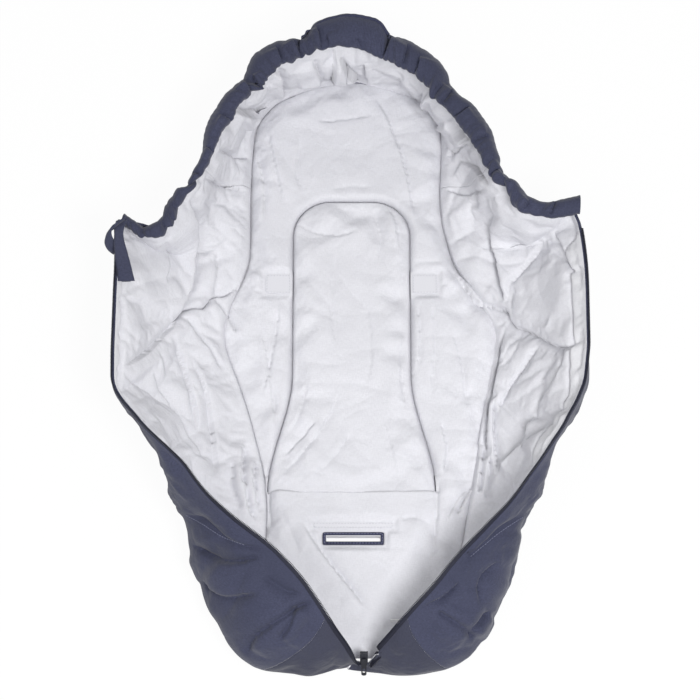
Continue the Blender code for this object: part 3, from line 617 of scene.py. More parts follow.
# Cloths: colours in the settings, thread and slub in metres, contrast of the threads, height of the weave,
# roughness, sheen, and height and width of the crumples in metres.
CLOTHS = {
    # Plain-woven melange polyester: flecked two-tone blue threads, matt with a faint sheen. Its threads of
    # 0.4 mm are drawn 1.1 mm wide, so that they show.
    "melange_polyester": ("shell", 0.0011, 0.003, 0.50, 0.35, 0.80, 0.14, 0.0012, 0.016),
    # Polyester over the sole, drawn darker than the shell as painted shade for the foot end that faces away
    # from the light; plain, with its threads drawn as wide.
    "sole_polyester": ("sole", 0.0011, 0.003, 0.50, 0.3, 0.78, 0.1, 0.0012, 0.020),
    # Brushed cotton jersey over wadding: near white, matt and soft, with shallow crumples. Its stitches of
    # 0.6 mm are drawn 1.1 mm wide, so that they show.
    "brushed_cotton_lining": ("lining", 0.0011, 0.005, 0.45, 0.18, 0.92, 0.05, 0.0016, 0.020),
    # Firm cotton facing beside the zip, flatter than the lining; a little brighter, partly its own paler
    # cotton and partly painted light for the strip that faces up.
    "cotton_facing": ("facing", 0.0010, 0.004, 0.45, 0.2, 0.9, 0.0, 0.0010, 0.014),
    # Narrow woven polyester tape in dark navy: ribbed and matt.
    "woven_binding": ("trim", 0.0009, 0.004, 0.35, 0.5, 0.8, 0.05, 0.0004, 0.008),
    # Woven zip tape, almost black: flat ribs, matt.
    "zip_tape": ("zip", 0.0008, 0.004, 0.35, 0.5, 0.75, 0.0, 0.0002, 0.008),
    # Hook-and-loop tape: short dark pile.
    "hook_tape": ("trim", 0.0007, 0.0007, 0.3, 1.0, 0.95, 0.3, 0.0004, 0.004),
    # Satin label: bright smooth white with a soft gloss.
    "satin_label": ("label", 0.0004, 0.003, 0.3, 0.1, 0.45, 0.0, 0.0002, 0.01),
}


def cloth_material(name):
    """Woven cloth on the piece's UV map in metres: two colours of thread, weave bump and fine crumples."""
    group, thread, slub, contrast, weave_height, roughness, sheen, fold_height, fold_width = CLOTHS[name]
    finish, tree, shader = base_material(name, roughness, sheen=sheen)
    place = add(tree, "ShaderNodeUVMap", uv_map="cloth")
    threads = []
    for scale in ((1 / thread, 1 / slub, 1), (1 / slub, 1 / thread, 1)):
        mapping = add(tree, "ShaderNodeMapping", [("Vector", place, "UV")], Scale=scale)
        noise = add(tree, "ShaderNodeTexNoise", [("Vector", mapping, "Vector")], Scale=1.0, Detail=2.0)
        threads.append(noise)
    warp, weft = threads
    both = add(tree, "ShaderNodeMath", [(0, warp, "Fac"), (1, weft, "Fac")], operation="ADD")
    half = add(tree, "ShaderNodeMapRange", [("Value", both, "Value")],
               From_Min=1 - contrast, From_Max=1 + contrast)
    large = add(tree, "ShaderNodeTexNoise", [("Vector", place, "UV")], Scale=9.0, Detail=3.0)
    blend = add(tree, "ShaderNodeMath", [(0, half, "Result"), (1, large, "Fac")], operation="MULTIPLY")
    lift = add(tree, "ShaderNodeMapRange", [("Value", blend, "Value")], From_Min=0.0, From_Max=0.6)
    colour = add(tree, "ShaderNodeMix", [("Factor", lift, "Result")], data_type="RGBA", **tones(group))
    tree.links.new(colour.outputs["Result"], shader.inputs["Base Color"])
    weave = add(tree, "ShaderNodeBump", [("Height", both, "Value")], Strength=weave_height, Distance=0.0004)
    folds = add(tree, "ShaderNodeTexNoise", [("Vector", place, "UV")], Scale=1 / fold_width, Detail=4.0,
                Roughness=0.55, Distortion=0.6)
    crumples = add(tree, "ShaderNodeBump", [("Height", folds, "Fac"), ("Normal", weave, "Normal")],
                   Strength=1.0, Distance=fold_height)
    tree.links.new(crumples.outputs["Normal"], shader.inputs["Normal"])
    return finish


# Threads and nylon: colours in the settings, roughness, and grains of their twist or moulding to a metre
GRAINED = {
    # Polyester sewing threads: finely twisted, with a low gloss.
    "navy_thread": ("navy_thread", 0.6, 2200.0),
    "pale_thread": ("pale_thread", 0.6, 2200.0),
    # Moulded nylon zip coil: near black with small smooth highlights.
    "moulded_nylon_coil": ("coil", 0.38, 900.0),
}


def grained_material(name):
    """Plain finish whose two tones change with a fine grain."""
    group, roughness, grains = GRAINED[name]
    finish, tree, shader = base_material(name, roughness)
    place = add(tree, "ShaderNodeTexCoord")
    noise = add(tree, "ShaderNodeTexNoise", [("Vector", place, "Object")], Scale=grains)
    colour = add(tree, "ShaderNodeMix", [("Factor", noise, "Fac")], data_type="RGBA", **tones(group))
    tree.links.new(colour.outputs["Result"], shader.inputs["Base Color"])
    return finish


def enamelled_zinc(name):
    """Die-cast zinc under dark enamel: smooth, with worn brighter edges."""
    finish, tree, shader = base_material(name, 0.28, metallic=0.2)
    shape = add(tree, "ShaderNodeNewGeometry")
    edge = add(tree, "ShaderNodeMapRange", [("Value", shape, "Pointiness")], From_Min=0.52, From_Max=0.62)
    colour = add(tree, "ShaderNodeMix", [("Factor", edge, "Result")], data_type="RGBA", **tones("zinc"))
    tree.links.new(colour.outputs["Result"], shader.inputs["Base Color"])
    return finish


MATERIALS = {}


def material(name):
    """The named finish, made once."""
    if name not in MATERIALS:
        make = cloth_material if name in CLOTHS else grained_material if name in GRAINED else enamelled_zinc
        MATERIALS[name] = make(name)
    return MATERIALS[name]


# Padded walls

# Where the lining meets the back in the view: station, place on the left, place on the right, depth in mm
CREASE = [
    (5.0, (250, 580), (450, 587), 3), (6.0, (266, 548), (462, 548), 3), (7.0, (268, 512), (467, 512), 4),
    (8.0, (266, 480), (472, 480), 4), (9.0, (258, 448), (477, 450), 2.4), (10.0, (249, 413), (482, 417), 2.4),
    (10.5, (236, 374), (493, 378), 2.2), (11.0, (218, 340), (503, 337), 2), (11.5, (234, 303), (482, 303), 2),
    (12.0, (250, 268), (454, 270), 6), (13.0, (251, 243), (447, 243), 8), (14.0, (251, 226), (442, 226), 8),
    (15.0, (251, 198), (439, 198), 8), (16.0, (253, 158), (441, 158), 8), (17.0, (256, 126), (441, 124), 7),
    (18.0, (277, 103), (422, 101), 5), (19.0, (311, 89), (388, 90), 5), (19.5, (332, 85), (368, 85), 5),
    (20.0, (350, 83), (350, 83), 5),
]
CREASE_Z = 0.004
PAD_TOP = FLOOR_TOP + 0.0022


def crease_line(t, side):
    """Where the lining of one side meets the back, at each station."""
    even = np.linspace(0, LAST, 401)
    own = in_view(wall(even, np.zeros_like(even), side))
    known = np.array([row[0] for row in CREASE])
    places = np.array([row[1] if side < 0 else row[2] for row in CREASE], float)
    at = np.stack([np.interp(even, known, places[:, k]) for k in (0, 1)], 1)
    share = ease(even - 4)[:, None]
    shown = evened(own * (1 - share) + at * share, 60)
    line = on_level(np.stack([np.interp(t, even, shown[:, k]) for k in (0, 1)], 1), CREASE_Z)
    line[:, 2] = PAD_TOP - crease_depth(t)
    return line


def crease_depth(t):
    """Depth of that crease below the back's top."""
    return np.interp(t, [0] + [row[0] for row in CREASE], [3] + [row[3] for row in CREASE]) * MM


def hood_angle(points):
    """Angle of points round the middle of the hood."""
    return np.arctan2(points[:, 1] - HOOD_MIDDLE[1], points[:, 0] - HOOD_MIDDLE[0])


def collar_level(middle):
    """Height of the collar's middle line, given as places in the view."""
    z = np.full(len(middle), 0.125)
    for _ in range(3):
        z = np.interp(on_level(middle, z)[:, 1], *COLLAR_RISE)
    return z


def collar_middle():
    """Middle line of the collar, as shown in the view, with its angle round the middle of the hood."""
    middle = spline_rows(COLLAR, np.linspace(0, len(COLLAR) - 1.001, 600)).mean(1)
    line = on_level(middle, collar_level(middle) - 0.004)
    angle = hood_angle(line)
    return line, np.minimum.accumulate(angle) - 1e-6 * np.arange(len(angle))


def edge_warp(t, side):
    """How far the upper edge moves to meet the collar, at each station."""
    line, angle = collar_middle()
    edge = wall(t, np.ones_like(t), side)
    meet = np.stack([np.interp(hood_angle(edge), angle[::-1], line[::-1, k]) for k in range(3)], 1)
    return (meet - edge) * ease((t - 12.0) / 0.7)[:, None]


# Folds of the lining, each as depth in mm, width in view pixels, which side rolls over, and its line
LINING_FOLDS = [
    (3.4, 3.0, 0.5, [(118, 368), (142, 356), (168, 331), (184, 311), (203, 309), (213, 298), (227, 296),
                     (246, 278)]),
    (5.0, 2.6, 0.8, [(190, 200), (194, 227), (193, 258), (189, 286), (182, 305), (171, 331)]),
    (2.0, 2.0, 0.6, [(162, 236), (163, 262), (160, 285)]),
    (2.2, 2.4, 0.4, [(216, 250), (216, 275), (214, 296)]),
    (2.6, 2.0, 0.5, [(213, 300), (228, 318), (236, 335)]),
    (2.8, 1.8, -0.6, [(177, 340), (183, 365), (190, 395), (199, 433)]),
    (2.6, 1.8, -0.6, [(190, 360), (204, 392), (212, 425), (214, 450), (220, 478)]),
    (2.0, 2.4, 0.3, [(120, 372), (150, 395), (180, 420)]),
    (2.2, 2.0, 0.4, [(186, 318), (200, 340), (222, 372)]),
    (2.0, 1.8, 0.4, [(150, 372), (166, 400), (186, 432), (204, 462)]),
    (5.0, 2.0, 0.7, [(246, 440), (241, 466), (242, 486), (246, 506), (257, 524)]),
    (4.5, 1.8, 0.7, [(258, 456), (253, 474), (254, 492), (260, 514)]),
    (3.0, 1.8, -0.4, [(232, 462), (232, 490), (242, 512)]),
    (3.8, 3.0, -0.6, [(452, 268), (465, 285), (478, 303), (490, 305), (508, 311), (514, 324), (534, 334),
                      (553, 344), (566, 346), (584, 340)]),
    (5.0, 2.4, -0.8, [(493, 214), (495, 243), (500, 270), (506, 303)]),
    (2.8, 2.0, 0.5, [(543, 240), (528, 262), (514, 284), (509, 300)]),
    (2.6, 2.0, -0.5, [(554, 230), (566, 252), (577, 275)]),
    (2.6, 2.0, -0.5, [(560, 345), (568, 358), (560, 384), (546, 405)]),
    (2.4, 2.0, 0.5, [(540, 344), (524, 366), (510, 388), (500, 416)]),
    (5.5, 2.2, -0.8, [(506, 330), (501, 352), (496, 378), (490, 408), (487, 436), (486, 460)]),
    (3.0, 2.0, 0.5, [(496, 400), (494, 430), (495, 458), (496, 474)]),
    (5.0, 2.0, -0.8, [(536, 416), (530, 438), (516, 456), (497, 472)]),
    (3.6, 2.0, -0.6, [(567, 408), (550, 430), (534, 444), (524, 450)]),
    (4.0, 1.8, 0.6, [(482, 440), (480, 470), (478, 496)]),
    (3.5, 1.8, 0.6, [(489, 456), (487, 480), (484, 500)]),
    (4.0, 1.8, -0.6, [(474, 484), (466, 498), (458, 516)]),
    (2.2, 1.8, 0.5, [(300, 520), (318, 548), (332, 566), (352, 590), (366, 612)]),
]

# Folds of the outer cloth over the foot.
SHELL_FOLDS = [
    (2.2, 2.0, 0.0, [(184, 513), (204, 524), (223, 537), (246, 546), (268, 548)]),
    (3.0, 3.0, 0.4, [(190, 545), (214, 560), (240, 562), (262, 556)]),
    (2.6, 2.6, -0.4, [(196, 580), (226, 596), (262, 590)]),
    (3.0, 2.0, 0.3, [(247, 657), (254, 640), (266, 629), (288, 615), (301, 607), (319, 603)]),
    (2.6, 2.6, 0.4, [(280, 640), (292, 622), (296, 604)]),
    (2.2, 3.0, 0.0, [(262, 575), (284, 590), (304, 594)]),
    (2.2, 2.0, 0.0, [(525, 515), (500, 532), (468, 558), (448, 570)]),
    (3.0, 2.0, -0.3, [(436, 610), (454, 620), (470, 631), (473, 642)]),
    (3.2, 2.0, 0.3, [(470, 630), (480, 621), (490, 612)]),
    (3.0, 2.4, -0.5, [(414, 610), (428, 604), (444, 596), (460, 581)]),
    (2.8, 2.0, 0.4, [(456, 548), (466, 553), (474, 556)]),
    (2.4, 3.0, 0.3, [(500, 560), (480, 580), (478, 604)]),
    (2.6, 3.0, -0.3, [(128, 402), (140, 430), (160, 456), (176, 486)]),
    (2.2, 3.0, 0.3, [(160, 446), (190, 476), (206, 500)]),
    (2.4, 3.0, 0.3, [(548, 445), (528, 475), (512, 500)]),
]

HOOD_FOLDS = [
    (3.6, 2.4, -0.7, [(334, 50), (334, 68), (331, 86)]),
    (4.2, 2.4, 0.7, [(338, 54), (350, 72), (366, 88)]),
    (3.0, 2.2, -0.7, [(365, 62), (367, 76), (371, 88)]),
    (3.5, 2.4, 0.5, [(312, 60), (318, 74), (322, 88)]),
    (5.0, 2.2, 0.8, [(277, 66), (280, 84), (284, 102)]),
    (4.0, 2.2, -0.6, [(300, 96), (312, 92), (326, 88)]),
    (4.5, 2.2, 0.7, [(230, 110), (246, 112), (260, 112), (268, 106)]),
    (3.5, 2.0, -0.5, [(240, 128), (252, 126), (262, 118)]),
    (4.0, 2.0, -0.7, [(392, 92), (404, 98), (420, 104), (430, 110)]),
    (4.5, 2.2, -0.8, [(426, 88), (429, 104), (437, 118), (440, 134)]),
    (4.0, 2.0, 0.7, [(448, 118), (458, 132), (472, 148)]),
    (3.5, 2.0, -0.6, [(446, 156), (458, 150), (470, 140)]),
    (3.0, 2.2, 0.5, [(216, 150), (234, 158), (250, 158)]),
    (3.0, 2.2, -0.5, [(204, 176), (226, 186), (248, 190)]),
    (3.0, 2.2, 0.5, [(446, 190), (466, 196), (486, 190)]),
    (3.0, 2.2, 0.5, [(460, 160), (474, 170), (490, 186)]),
]
# Folds of the gathered collar, beside its pinches.
COLLAR_FOLDS = [
    (3.0, 1.8, 0.8, [(292, 38), (297, 48), (302, 60)]),
    (2.6, 1.6, -0.8, [(300, 38), (300, 50), (306, 58)]),
    (2.4, 1.8, 0.6, [(276, 46), (280, 56), (284, 66)]),
    (3.0, 1.8, 0.8, [(243, 80), (250, 90), (255, 98)]),
    (2.6, 1.6, -0.7, [(252, 74), (258, 84), (266, 88)]),
    (2.6, 1.8, 0.7, [(219, 114), (228, 119), (236, 122)]),
    (2.4, 1.8, 0.6, [(206, 146), (212, 152), (218, 154)]),
    (2.2, 1.6, 0.6, [(192, 172), (200, 176), (206, 180)]),
    (2.4, 1.8, 0.7, [(316, 26), (320, 38), (321, 50)]),
    (2.2, 1.8, -0.6, [(326, 34), (329, 42), (328, 49)]),
    (2.2, 1.8, 0.6, [(356, 38), (360, 44), (362, 52)]),
    (3.0, 1.8, -0.8, [(393, 34), (388, 46), (382, 60)]),
    (2.4, 1.8, 0.6, [(408, 44), (404, 56), (402, 66)]),
    (2.6, 1.8, -0.7, [(420, 56), (418, 66), (414, 74)]),
    (3.0, 1.8, 0.8, [(452, 88), (444, 98), (438, 104)]),
    (2.4, 1.8, -0.6, [(470, 106), (462, 112), (452, 118)]),
    (2.4, 1.8, 0.6, [(489, 134), (480, 136), (470, 142)]),
    (2.2, 1.8, -0.6, [(500, 168), (494, 172), (486, 176)]),
    (2.4, 1.8, 0.6, [(530, 200), (524, 206), (518, 212)]),
    (2.2, 1.8, 0.6, [(556, 200), (552, 208), (550, 216)]),
]


def even_places(side, lo, hi, spacing, s=0.6):
    """Stations at even distances along the wall, and its length there."""
    t = np.linspace(lo, hi, 400)
    far = way_along(wall(t, np.full_like(t, s), side))
    count = int(far[-1] / spacing) + 1
    return np.interp(np.linspace(0, far[-1], count), far, t), far[-1]


def wall_grid(t, s, side, both):
    """Seam surface, crease line, warp of the upper edge and station of each column of a panel."""
    if not both:
        line = np.repeat(t[:, None], len(s), 1)
        rows = np.repeat(s[None], len(t), 0)
        return wall(line, rows, side), crease_line(t, side), edge_warp(t, side), t
    if t[0] < 0:
        halves = [(t < 0, -1, -t), (t >= 0, 1, t)]
    else:
        halves = [(t > LAST, -1, 2 * LAST - t), (t <= LAST, 1, t)]
    seam = np.zeros((len(t), len(s), 3))
    crease, warp, station = np.zeros((len(t), 3)), np.zeros((len(t), 3)), np.zeros(len(t))
    for which, hand, at in halves:
        at = at[which]
        order = np.argsort(at)
        back = np.argsort(order)
        seam[which] = wall(np.repeat(at[:, None], len(s), 1), np.repeat(s[None], len(at), 0), hand)
        crease[which] = crease_line(at[order], hand)[back]
        warp[which] = edge_warp(at, hand)
        station[which] = at
    return seam, crease, warp, station


def panel_stations(side, lo, hi, spacing, both):
    """Stations of a panel's columns, and its length: a panel of both sides runs across the bag's middle."""
    t, length = even_places(1 if both else side, lo, hi, spacing)
    if not both:
        return t, length
    if lo == 0:
        return np.concatenate([-t[::-1], t[1:]]), 2 * length
    return np.concatenate([t, (2 * LAST - t[::-1])[1:]]), 2 * length


def measured_wall(side, lo, hi, spacing, both):
    """Grid of a panel's seam surface, with the distances measured on it."""
    t, length = panel_stations(side, lo, hi, spacing, both)
    s = np.linspace(0, 1, int(WALL_HEIGHT / spacing) + 1)
    seam, crease, warp, station = wall_grid(t, s, side, both)
    seam = seam + warp[:, None] * (s[None, :, None] ** 2.2)
    facing = 1 if both or side > 0 else -1
    edges = np.linalg.norm(np.diff(seam, axis=1), axis=-1)
    up = np.concatenate([np.zeros((len(t), 1)), np.cumsum(edges, axis=1)], axis=1)
    along = np.linspace(0, length, len(t))[:, None] + 0 * s[None]
    is_sole = both and lo == 0
    if is_sole:
        ends = np.minimum(along, length - along)
    else:
        ends = along * 0 + 1.0 if both else along
    return SimpleNamespace(
        s=s, side=side, both=both, facing=facing, is_sole=is_sole, seam=seam, out=normals_of(seam) * facing,
        crease=crease, station=station, along=along, length=length, up=up, to_edge=up[:, -1:] - up, ends=ends,
    )


def wall_depth(panel):
    """Thickness of the padding: thin at the zip's edge and where two panels are sewn together."""
    edge_depth = size("edge_depth")
    full = PAD_DEPTH + size("wall_swell") * ease(np.minimum(panel.up, panel.to_edge) / SWELL_REACH)
    rise = 1 - np.exp(-np.maximum(panel.to_edge - EDGE_ALLOWANCE, 0) / EDGE_REACH)
    depth = edge_depth + (full - edge_depth) * rise
    sewn = SEAM_DEPTH + (full - SEAM_DEPTH) * (1 - np.exp(-panel.ends / SEAM_REACH))
    return np.minimum(depth, sewn)


def lining_in_place(panel):
    """The lining before its folds, its pull toward the crease on the floor, and the distance from it."""
    inner = panel.seam - panel.out * wall_depth(panel)[..., None]
    # The lining's lower edge comes in over the floor to where its crease shows.
    pull = np.clip(1 - panel.s / CREASE_SHARE, 0, 1) ** 1.7
    inner += (panel.crease - inner[:, 0])[:, None] * pull[None, :, None]
    from_crease = np.linalg.norm(inner - panel.crease[:, None], axis=-1)
    dip = crease_depth(panel.station)[:, None]
    flank = np.clip(1 - from_crease / (0.004 + 1.3 * dip), 0, 1)
    fade = np.exp(-(panel.s[None] / CREASE_SHARE) ** 2 * 3)
    inner[..., 2] += (dip + 0.002) * fade * np.sqrt(1 - flank ** 2)
    return inner, pull, from_crease


def lining_direction(panel):
    """Where the lining's folds stand up to: into the bag on the wall, upward on the floor."""
    bottom = np.clip(1 - panel.s / 0.3, 0, 1)[None, :, None]
    into = -panel.out * (1 - bottom) + np.array([0, 0, 1.0]) * bottom
    return into / np.linalg.norm(into, axis=-1, keepdims=True)


def lining_lift(panel, inner, into, from_crease, folds):
    """Height of the lining's folds and crumples, and of the facing with the sewn groove beside it."""
    places = in_view(inner.reshape(-1, 3))
    shape = panel.along.shape
    to_edge = panel.to_edge
    lift = size("lining_folds") * folds_at(places, folds).reshape(shape)
    room = np.clip(np.minimum(from_crease, to_edge) / 0.006, 0, 1)
    lift *= room
    flat_u, flat_v = (places * VIEW_SCALE).reshape(*shape, 2).transpose(2, 0, 1)
    lift += size("lining_crumple") * crumple(flat_u, flat_v, 7) * room * np.clip(to_edge / 0.03, 0.15, 1)
    strip = strip_width(panel.seam, panel.side)
    shown = ease((strip - 0.004) / 0.004)
    lift -= GROOVE_DEPTH * np.exp(-((to_edge - strip - GROOVE_GAP) / GROOVE_WIDTH) ** 2) * shown
    lift += FACING_RISE * ease((strip - to_edge) / 0.002) * ease(to_edge / 0.006) * shown
    thick = np.sum((inner - panel.seam) * into, axis=-1)
    return np.maximum(lift, -np.maximum(thick - THINNEST, 0))


def settle_lining(shape, into, lift, facing, seed):
    """How the lining buckles between its seams, on a grid of a third of the rows: offset of each point."""
    coarse = (max(8, shape.shape[0] // 3), max(8, shape.shape[1] // 3))
    hold = np.full(coarse, 0.05)
    hold[:2] = hold[-2:] = 1
    hold[:, :2] = hold[:, -2:] = 1
    hold[resample(-lift, coarse) > 0.0020] = 0.6
    start = resample(shape, coarse)
    rough = smooth_noise(coarse, [(coarse[0] // 4, coarse[1] // 4, 0.0004)], seed)
    start += resample(into, coarse) * rough[..., None]
    order = slice(None, None, -1) if facing > 0 else slice(None)
    return cloth_wrinkles(start[:, order], hold[:, order], size("wall_slack"), 1.5, 0.007)[:, order]


def hood_ruffle(panel):
    """Ruffles of the lining below the collar, counted by the angle round the hood."""
    angle = np.unwrap(hood_angle(panel.seam[:, -1]))
    round_hood = angle[:, None] * HOOD_REACH
    shown = ease((panel.station - 12.1) / 0.5)[:, None]
    return gathers(round_hood + 0 * panel.along, panel.to_edge, 3) * shown


def shell_surface(panel, into, move, pull, seed):
    """The outer cloth: bagged out over the padding, with its own folds and a trace of the lining's."""
    out, side, s, shape = panel.out, panel.side, panel.s, panel.along.shape
    swell = SHELL_SWELL * np.clip(np.minimum(panel.up, panel.to_edge) / SWELL_REACH, 0, 1)
    under = panel.seam + out * (SHELL + swell * (1 - np.exp(-panel.ends / 0.03)))[..., None]
    places = in_view(under.reshape(-1, 3))
    folds = folds_at(places, SHELL_FOLDS).reshape(shape)
    noise = smooth_noise(shape, [(shape[0] // 40, 3, 0.0022), (shape[0] // 18, 7, 0.0012)], seed + 1)
    joins = np.minimum(panel.along, panel.length - panel.along)
    fade = np.clip(panel.to_edge / 0.03, 0, 1) * np.clip(panel.up / 0.02, 0, 1) * np.clip(joins / 0.02, 0, 1)
    bag = np.array(BULGE)
    bulge = np.interp(panel.seam[..., 1], bag[:, 0], bag[:, 2 if side > 0 else 1]) * MM * (not panel.both)
    wrinkle = resample(np.sum(move * resample(into, move.shape[:2]), axis=-1), shape)
    wrinkle = np.clip(wrinkle - wrinkle.mean(), -0.003, 0.003) * ease((s - 0.2) / 0.2)
    shell_u, shell_v = (places * VIEW_SCALE).reshape(*shape, 2).transpose(2, 0, 1)
    creases = size("shell_crumple") * crumple(shell_u, shell_v, 23) * ease((s - 0.15) / 0.15)
    lift = size("shell_folds") * folds * ease(panel.to_edge / 0.016)
    under = under + out * (lift + (noise + bulge + 0.8 * wrinkle + creases) * fade)[..., None]
    under[..., 2] = np.maximum(under[..., 2], 0.0003)
    # Its lower edge comes in under the pad as far as the lining's crease.
    outward = out[:, 0] * [1, 1, 0]
    beyond = np.maximum(np.sum((panel.crease - panel.seam[:, 0]) * outward, axis=1) + 0.006, 0)
    under += outward[:, None] * (beyond[:, None] * pull[None])[..., None]
    under = relax(under, 1)
    under[:, 0, 2] = 0.0004
    return under


# Outer surface, normals and turn of each finished wall panel, for the seams sewn on it.
PANELS = {}


def wall_panel(name, side, lo, hi, folds, spacing, seed, both=False):
    """Padded panel of the wall from station lo to hi, lined inside and shelled outside."""
    panel = measured_wall(side, lo, hi, spacing, both)
    inner, pull, from_crease = lining_in_place(panel)
    into = lining_direction(panel)
    lift = lining_lift(panel, inner, into, from_crease, folds)
    shape = inner + into * lift[..., None]
    move = settle_lining(shape, into, lift, panel.facing, seed)
    inner = shape + relax(resample(move, panel.along.shape), 1)
    inner += into * hood_ruffle(panel)[..., None]
    inner[..., 2] = np.maximum(inner[..., 2], CREASE_Z * 0.6)
    under = shell_surface(panel, into, move, pull, seed)
    gap = np.sum((under - inner) * panel.out, axis=-1)
    apart = np.maximum(CLOTHS_APART - gap, 0) * np.clip((panel.s - 0.25) / 0.2, 0, 1)[None]
    inner -= panel.out * apart[..., None]
    uv = np.stack([panel.along, panel.up], -1)
    # The facing beside the zip takes the brighter cotton, partly its own paler colour and partly painted
    # light.
    faced = panel.to_edge[:-1, :-1] < strip_width(panel.seam[:-1, :-1], side)
    edge_zone = (panel.station[:-1] > PALE_RIM_T).astype(int)
    rest_of_rim = np.ones(2 * (len(panel.s) - 1) + len(panel.station) - 1, int)
    zones = (np.where(faced, 2, 1), 0, np.concatenate([rest_of_rim, edge_zone[::-1]]))
    # The sole panel's outer cloth is drawn darker than the shell, as painted shade on the foot end.
    mats = [material("sole_polyester" if panel.is_sole else "melange_polyester"),
            material("brushed_cotton_lining"), material("cotton_facing")]
    obj = shell_piece(name, inner, under, uv, zones, mats, flip=panel.facing > 0)
    turn = turn_share(under, panel.facing)
    PANELS[name] = (under, panel.out, turn)
    return obj, np.concatenate([turn_share(inner, panel.facing).ravel(), turn.ravel()])


def strip_width(seam, side):
    """Width of the pale facing beside the zip."""
    wide = size("facing_right" if side > 0 else "facing_left")
    y = seam[..., 1]
    return wide * ease((y + 0.37) / 0.08) * ease((0.11 - y) / 0.02)


def gathers(along, to_edge, seed):
    """Ruffles of a gathered edge, fading down the cloth."""
    rng = np.random.default_rng(seed)
    total = np.zeros_like(along)
    for length, height in RUFFLES:
        bend = 0.3 * np.sin(along / 0.05 + rng.uniform(0, 6))
        wave = np.abs(np.sin(math.pi * along / length + bend + rng.uniform(0, 3)))
        strength = 0.6 + 0.4 * np.sin(along / 0.037 + rng.uniform(0, 6))
        total += height * (wave - 0.5) * strength * np.exp(-to_edge / (1.2 * length))
    return total


def select_only(obj=None):
    """Selects one object, or none."""
    bpy.ops.object.select_all(action="DESELECT")
    if obj is not None:
        obj.select_set(True)
        bpy.context.view_layer.objects.active = obj


def blend_by(obj):
    """Bakes a piece's placement into its mesh."""
    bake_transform(obj)


SIDES = (("left", -1), ("right", 1))


class FOOTMUFF_OT_sides(bpy.types.Operator):
    """Make the padded left and right sides, each from the sole seam to the hood"""

    bl_idname = "footmuff.sides"
    bl_label = "Padded sides"

    def execute(self, context):
        folds = LINING_FOLDS + HOOD_FOLDS
        for name, side in SIDES:
            obj, share = wall_panel(f"{name}_side_panel", side, SOLE_T, HOOD_T, folds, 0.0017, 11 + side)
            blend_by(obj)
            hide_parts(*[f"{name}_{part}_{layer}" for part in ("foot", "front")
                               for layer in ("outer", "wadding", "lining")],
                        f"{name}_lower_zip_facing", f"{name}_upper_zip_facing")
        return {"FINISHED"}


class FOOTMUFF_OT_ends(bpy.types.Operator):
    """Make the padded sole at the foot and the padded hood at the head"""

    bl_idname = "footmuff.ends"
    bl_label = "Sole and hood"

    def execute(self, context):
        sole, _ = wall_panel("sole_panel", 1, 0, SOLE_T, LINING_FOLDS, 0.0019, 21, both=True)
        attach(sole, "bag")
        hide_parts("sole_outer", "sole_wadding", "sole_lining")
        folds = LINING_FOLDS + HOOD_FOLDS
        hood, _ = wall_panel("hood_panel", 1, HOOD_T, LAST, folds, 0.0018, 31, both=True)
        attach(hood, "bag")
        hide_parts("hood_outer", "hood_wadding", "hood_lining")
        return {"FINISHED"}


# Flat pads of the back


def flap_half(y):
    """Half the width of the harness flap at a place along the bag."""
    return FLAP_HALF + (FLAP_FOOT_HALF - FLAP_HALF) * ease((FLAP_Y[0] + FLAP_FLARE - y) / FLAP_FLARE)


def flap_outline(grow):
    """Outline of the harness flap, grown by a distance."""
    straight = FLAP_Y[1] - FLAP_CORNER
    right = [(flap_half(y) + grow, y) for y in np.linspace(FLAP_Y[0] - grow, straight, 60)]
    for a in np.linspace(0, math.pi / 2, 16)[1:]:
        r = FLAP_CORNER + grow
        right.append((FLAP_HALF - FLAP_CORNER + r * math.cos(a), straight + r * math.sin(a)))
    return np.array(right + [(-x, y) for x, y in reversed(right)])


def box_outline(cx, cy, length, width):
    """Corners of a rectangle given by its middle and sizes."""
    return np.array([(cx + sx * length / 2, cy + sy * width / 2)
                     for sx, sy in ((-1, -1), (1, -1), (1, 1), (-1, 1))])


def back_outline(inset):
    """Outline of the back on the floor, where the lining of the walls meets it, with its crease's depth."""
    t = np.linspace(0, LAST, 260)
    right = crease_line(t, 1)[:, :2]
    left = crease_line(t, -1)[:, :2]
    loop = np.vstack([right, left[::-1][1:-1]])
    depth = crease_depth(t)
    ahead = unit(np.roll(loop, -1, axis=0) - np.roll(loop, 1, axis=0))
    inner = loop + np.stack([-ahead[:, 1], ahead[:, 0]], 1) * inset
    inner[:, 1] = np.maximum(inner[:, 1], FOOT_Y + 0.020)
    return inner, np.concatenate([depth, depth[::-1][1:-1]])


def inside(points, loop):
    """Which points lie inside a closed outline."""
    x, y = points[:, 0], points[:, 1]
    within = np.zeros(len(points), bool)
    for (x0, y0), (x1, y1) in zip(loop, np.roll(loop, -1, axis=0)):
        if y0 == y1:
            continue
        crosses = (y0 > y) != (y1 > y)
        within ^= crosses & (x < (x1 - x0) * (y - y0) / (y1 - y0) + x0)
    return within


def nearest_on(points, loop):
    """Nearest point of a closed outline, its distance and the number of its side."""
    best = np.full(len(points), 1e9)
    place = points.copy()
    number = np.zeros(len(points), int)
    for k, (a, b) in enumerate(zip(loop, np.roll(loop, -1, axis=0))):
        d = b - a
        length = d @ d
        if length < 1e-12:
            continue
        f = np.clip(((points - a) @ d) / length, 0, 1)
        near = a + f[:, None] * d
        gap = np.hypot(*(points - near).T)
        closer = gap < best
        best = np.where(closer, gap, best)
        place[closer] = near[closer]
        number[closer] = k
    return place, best, number


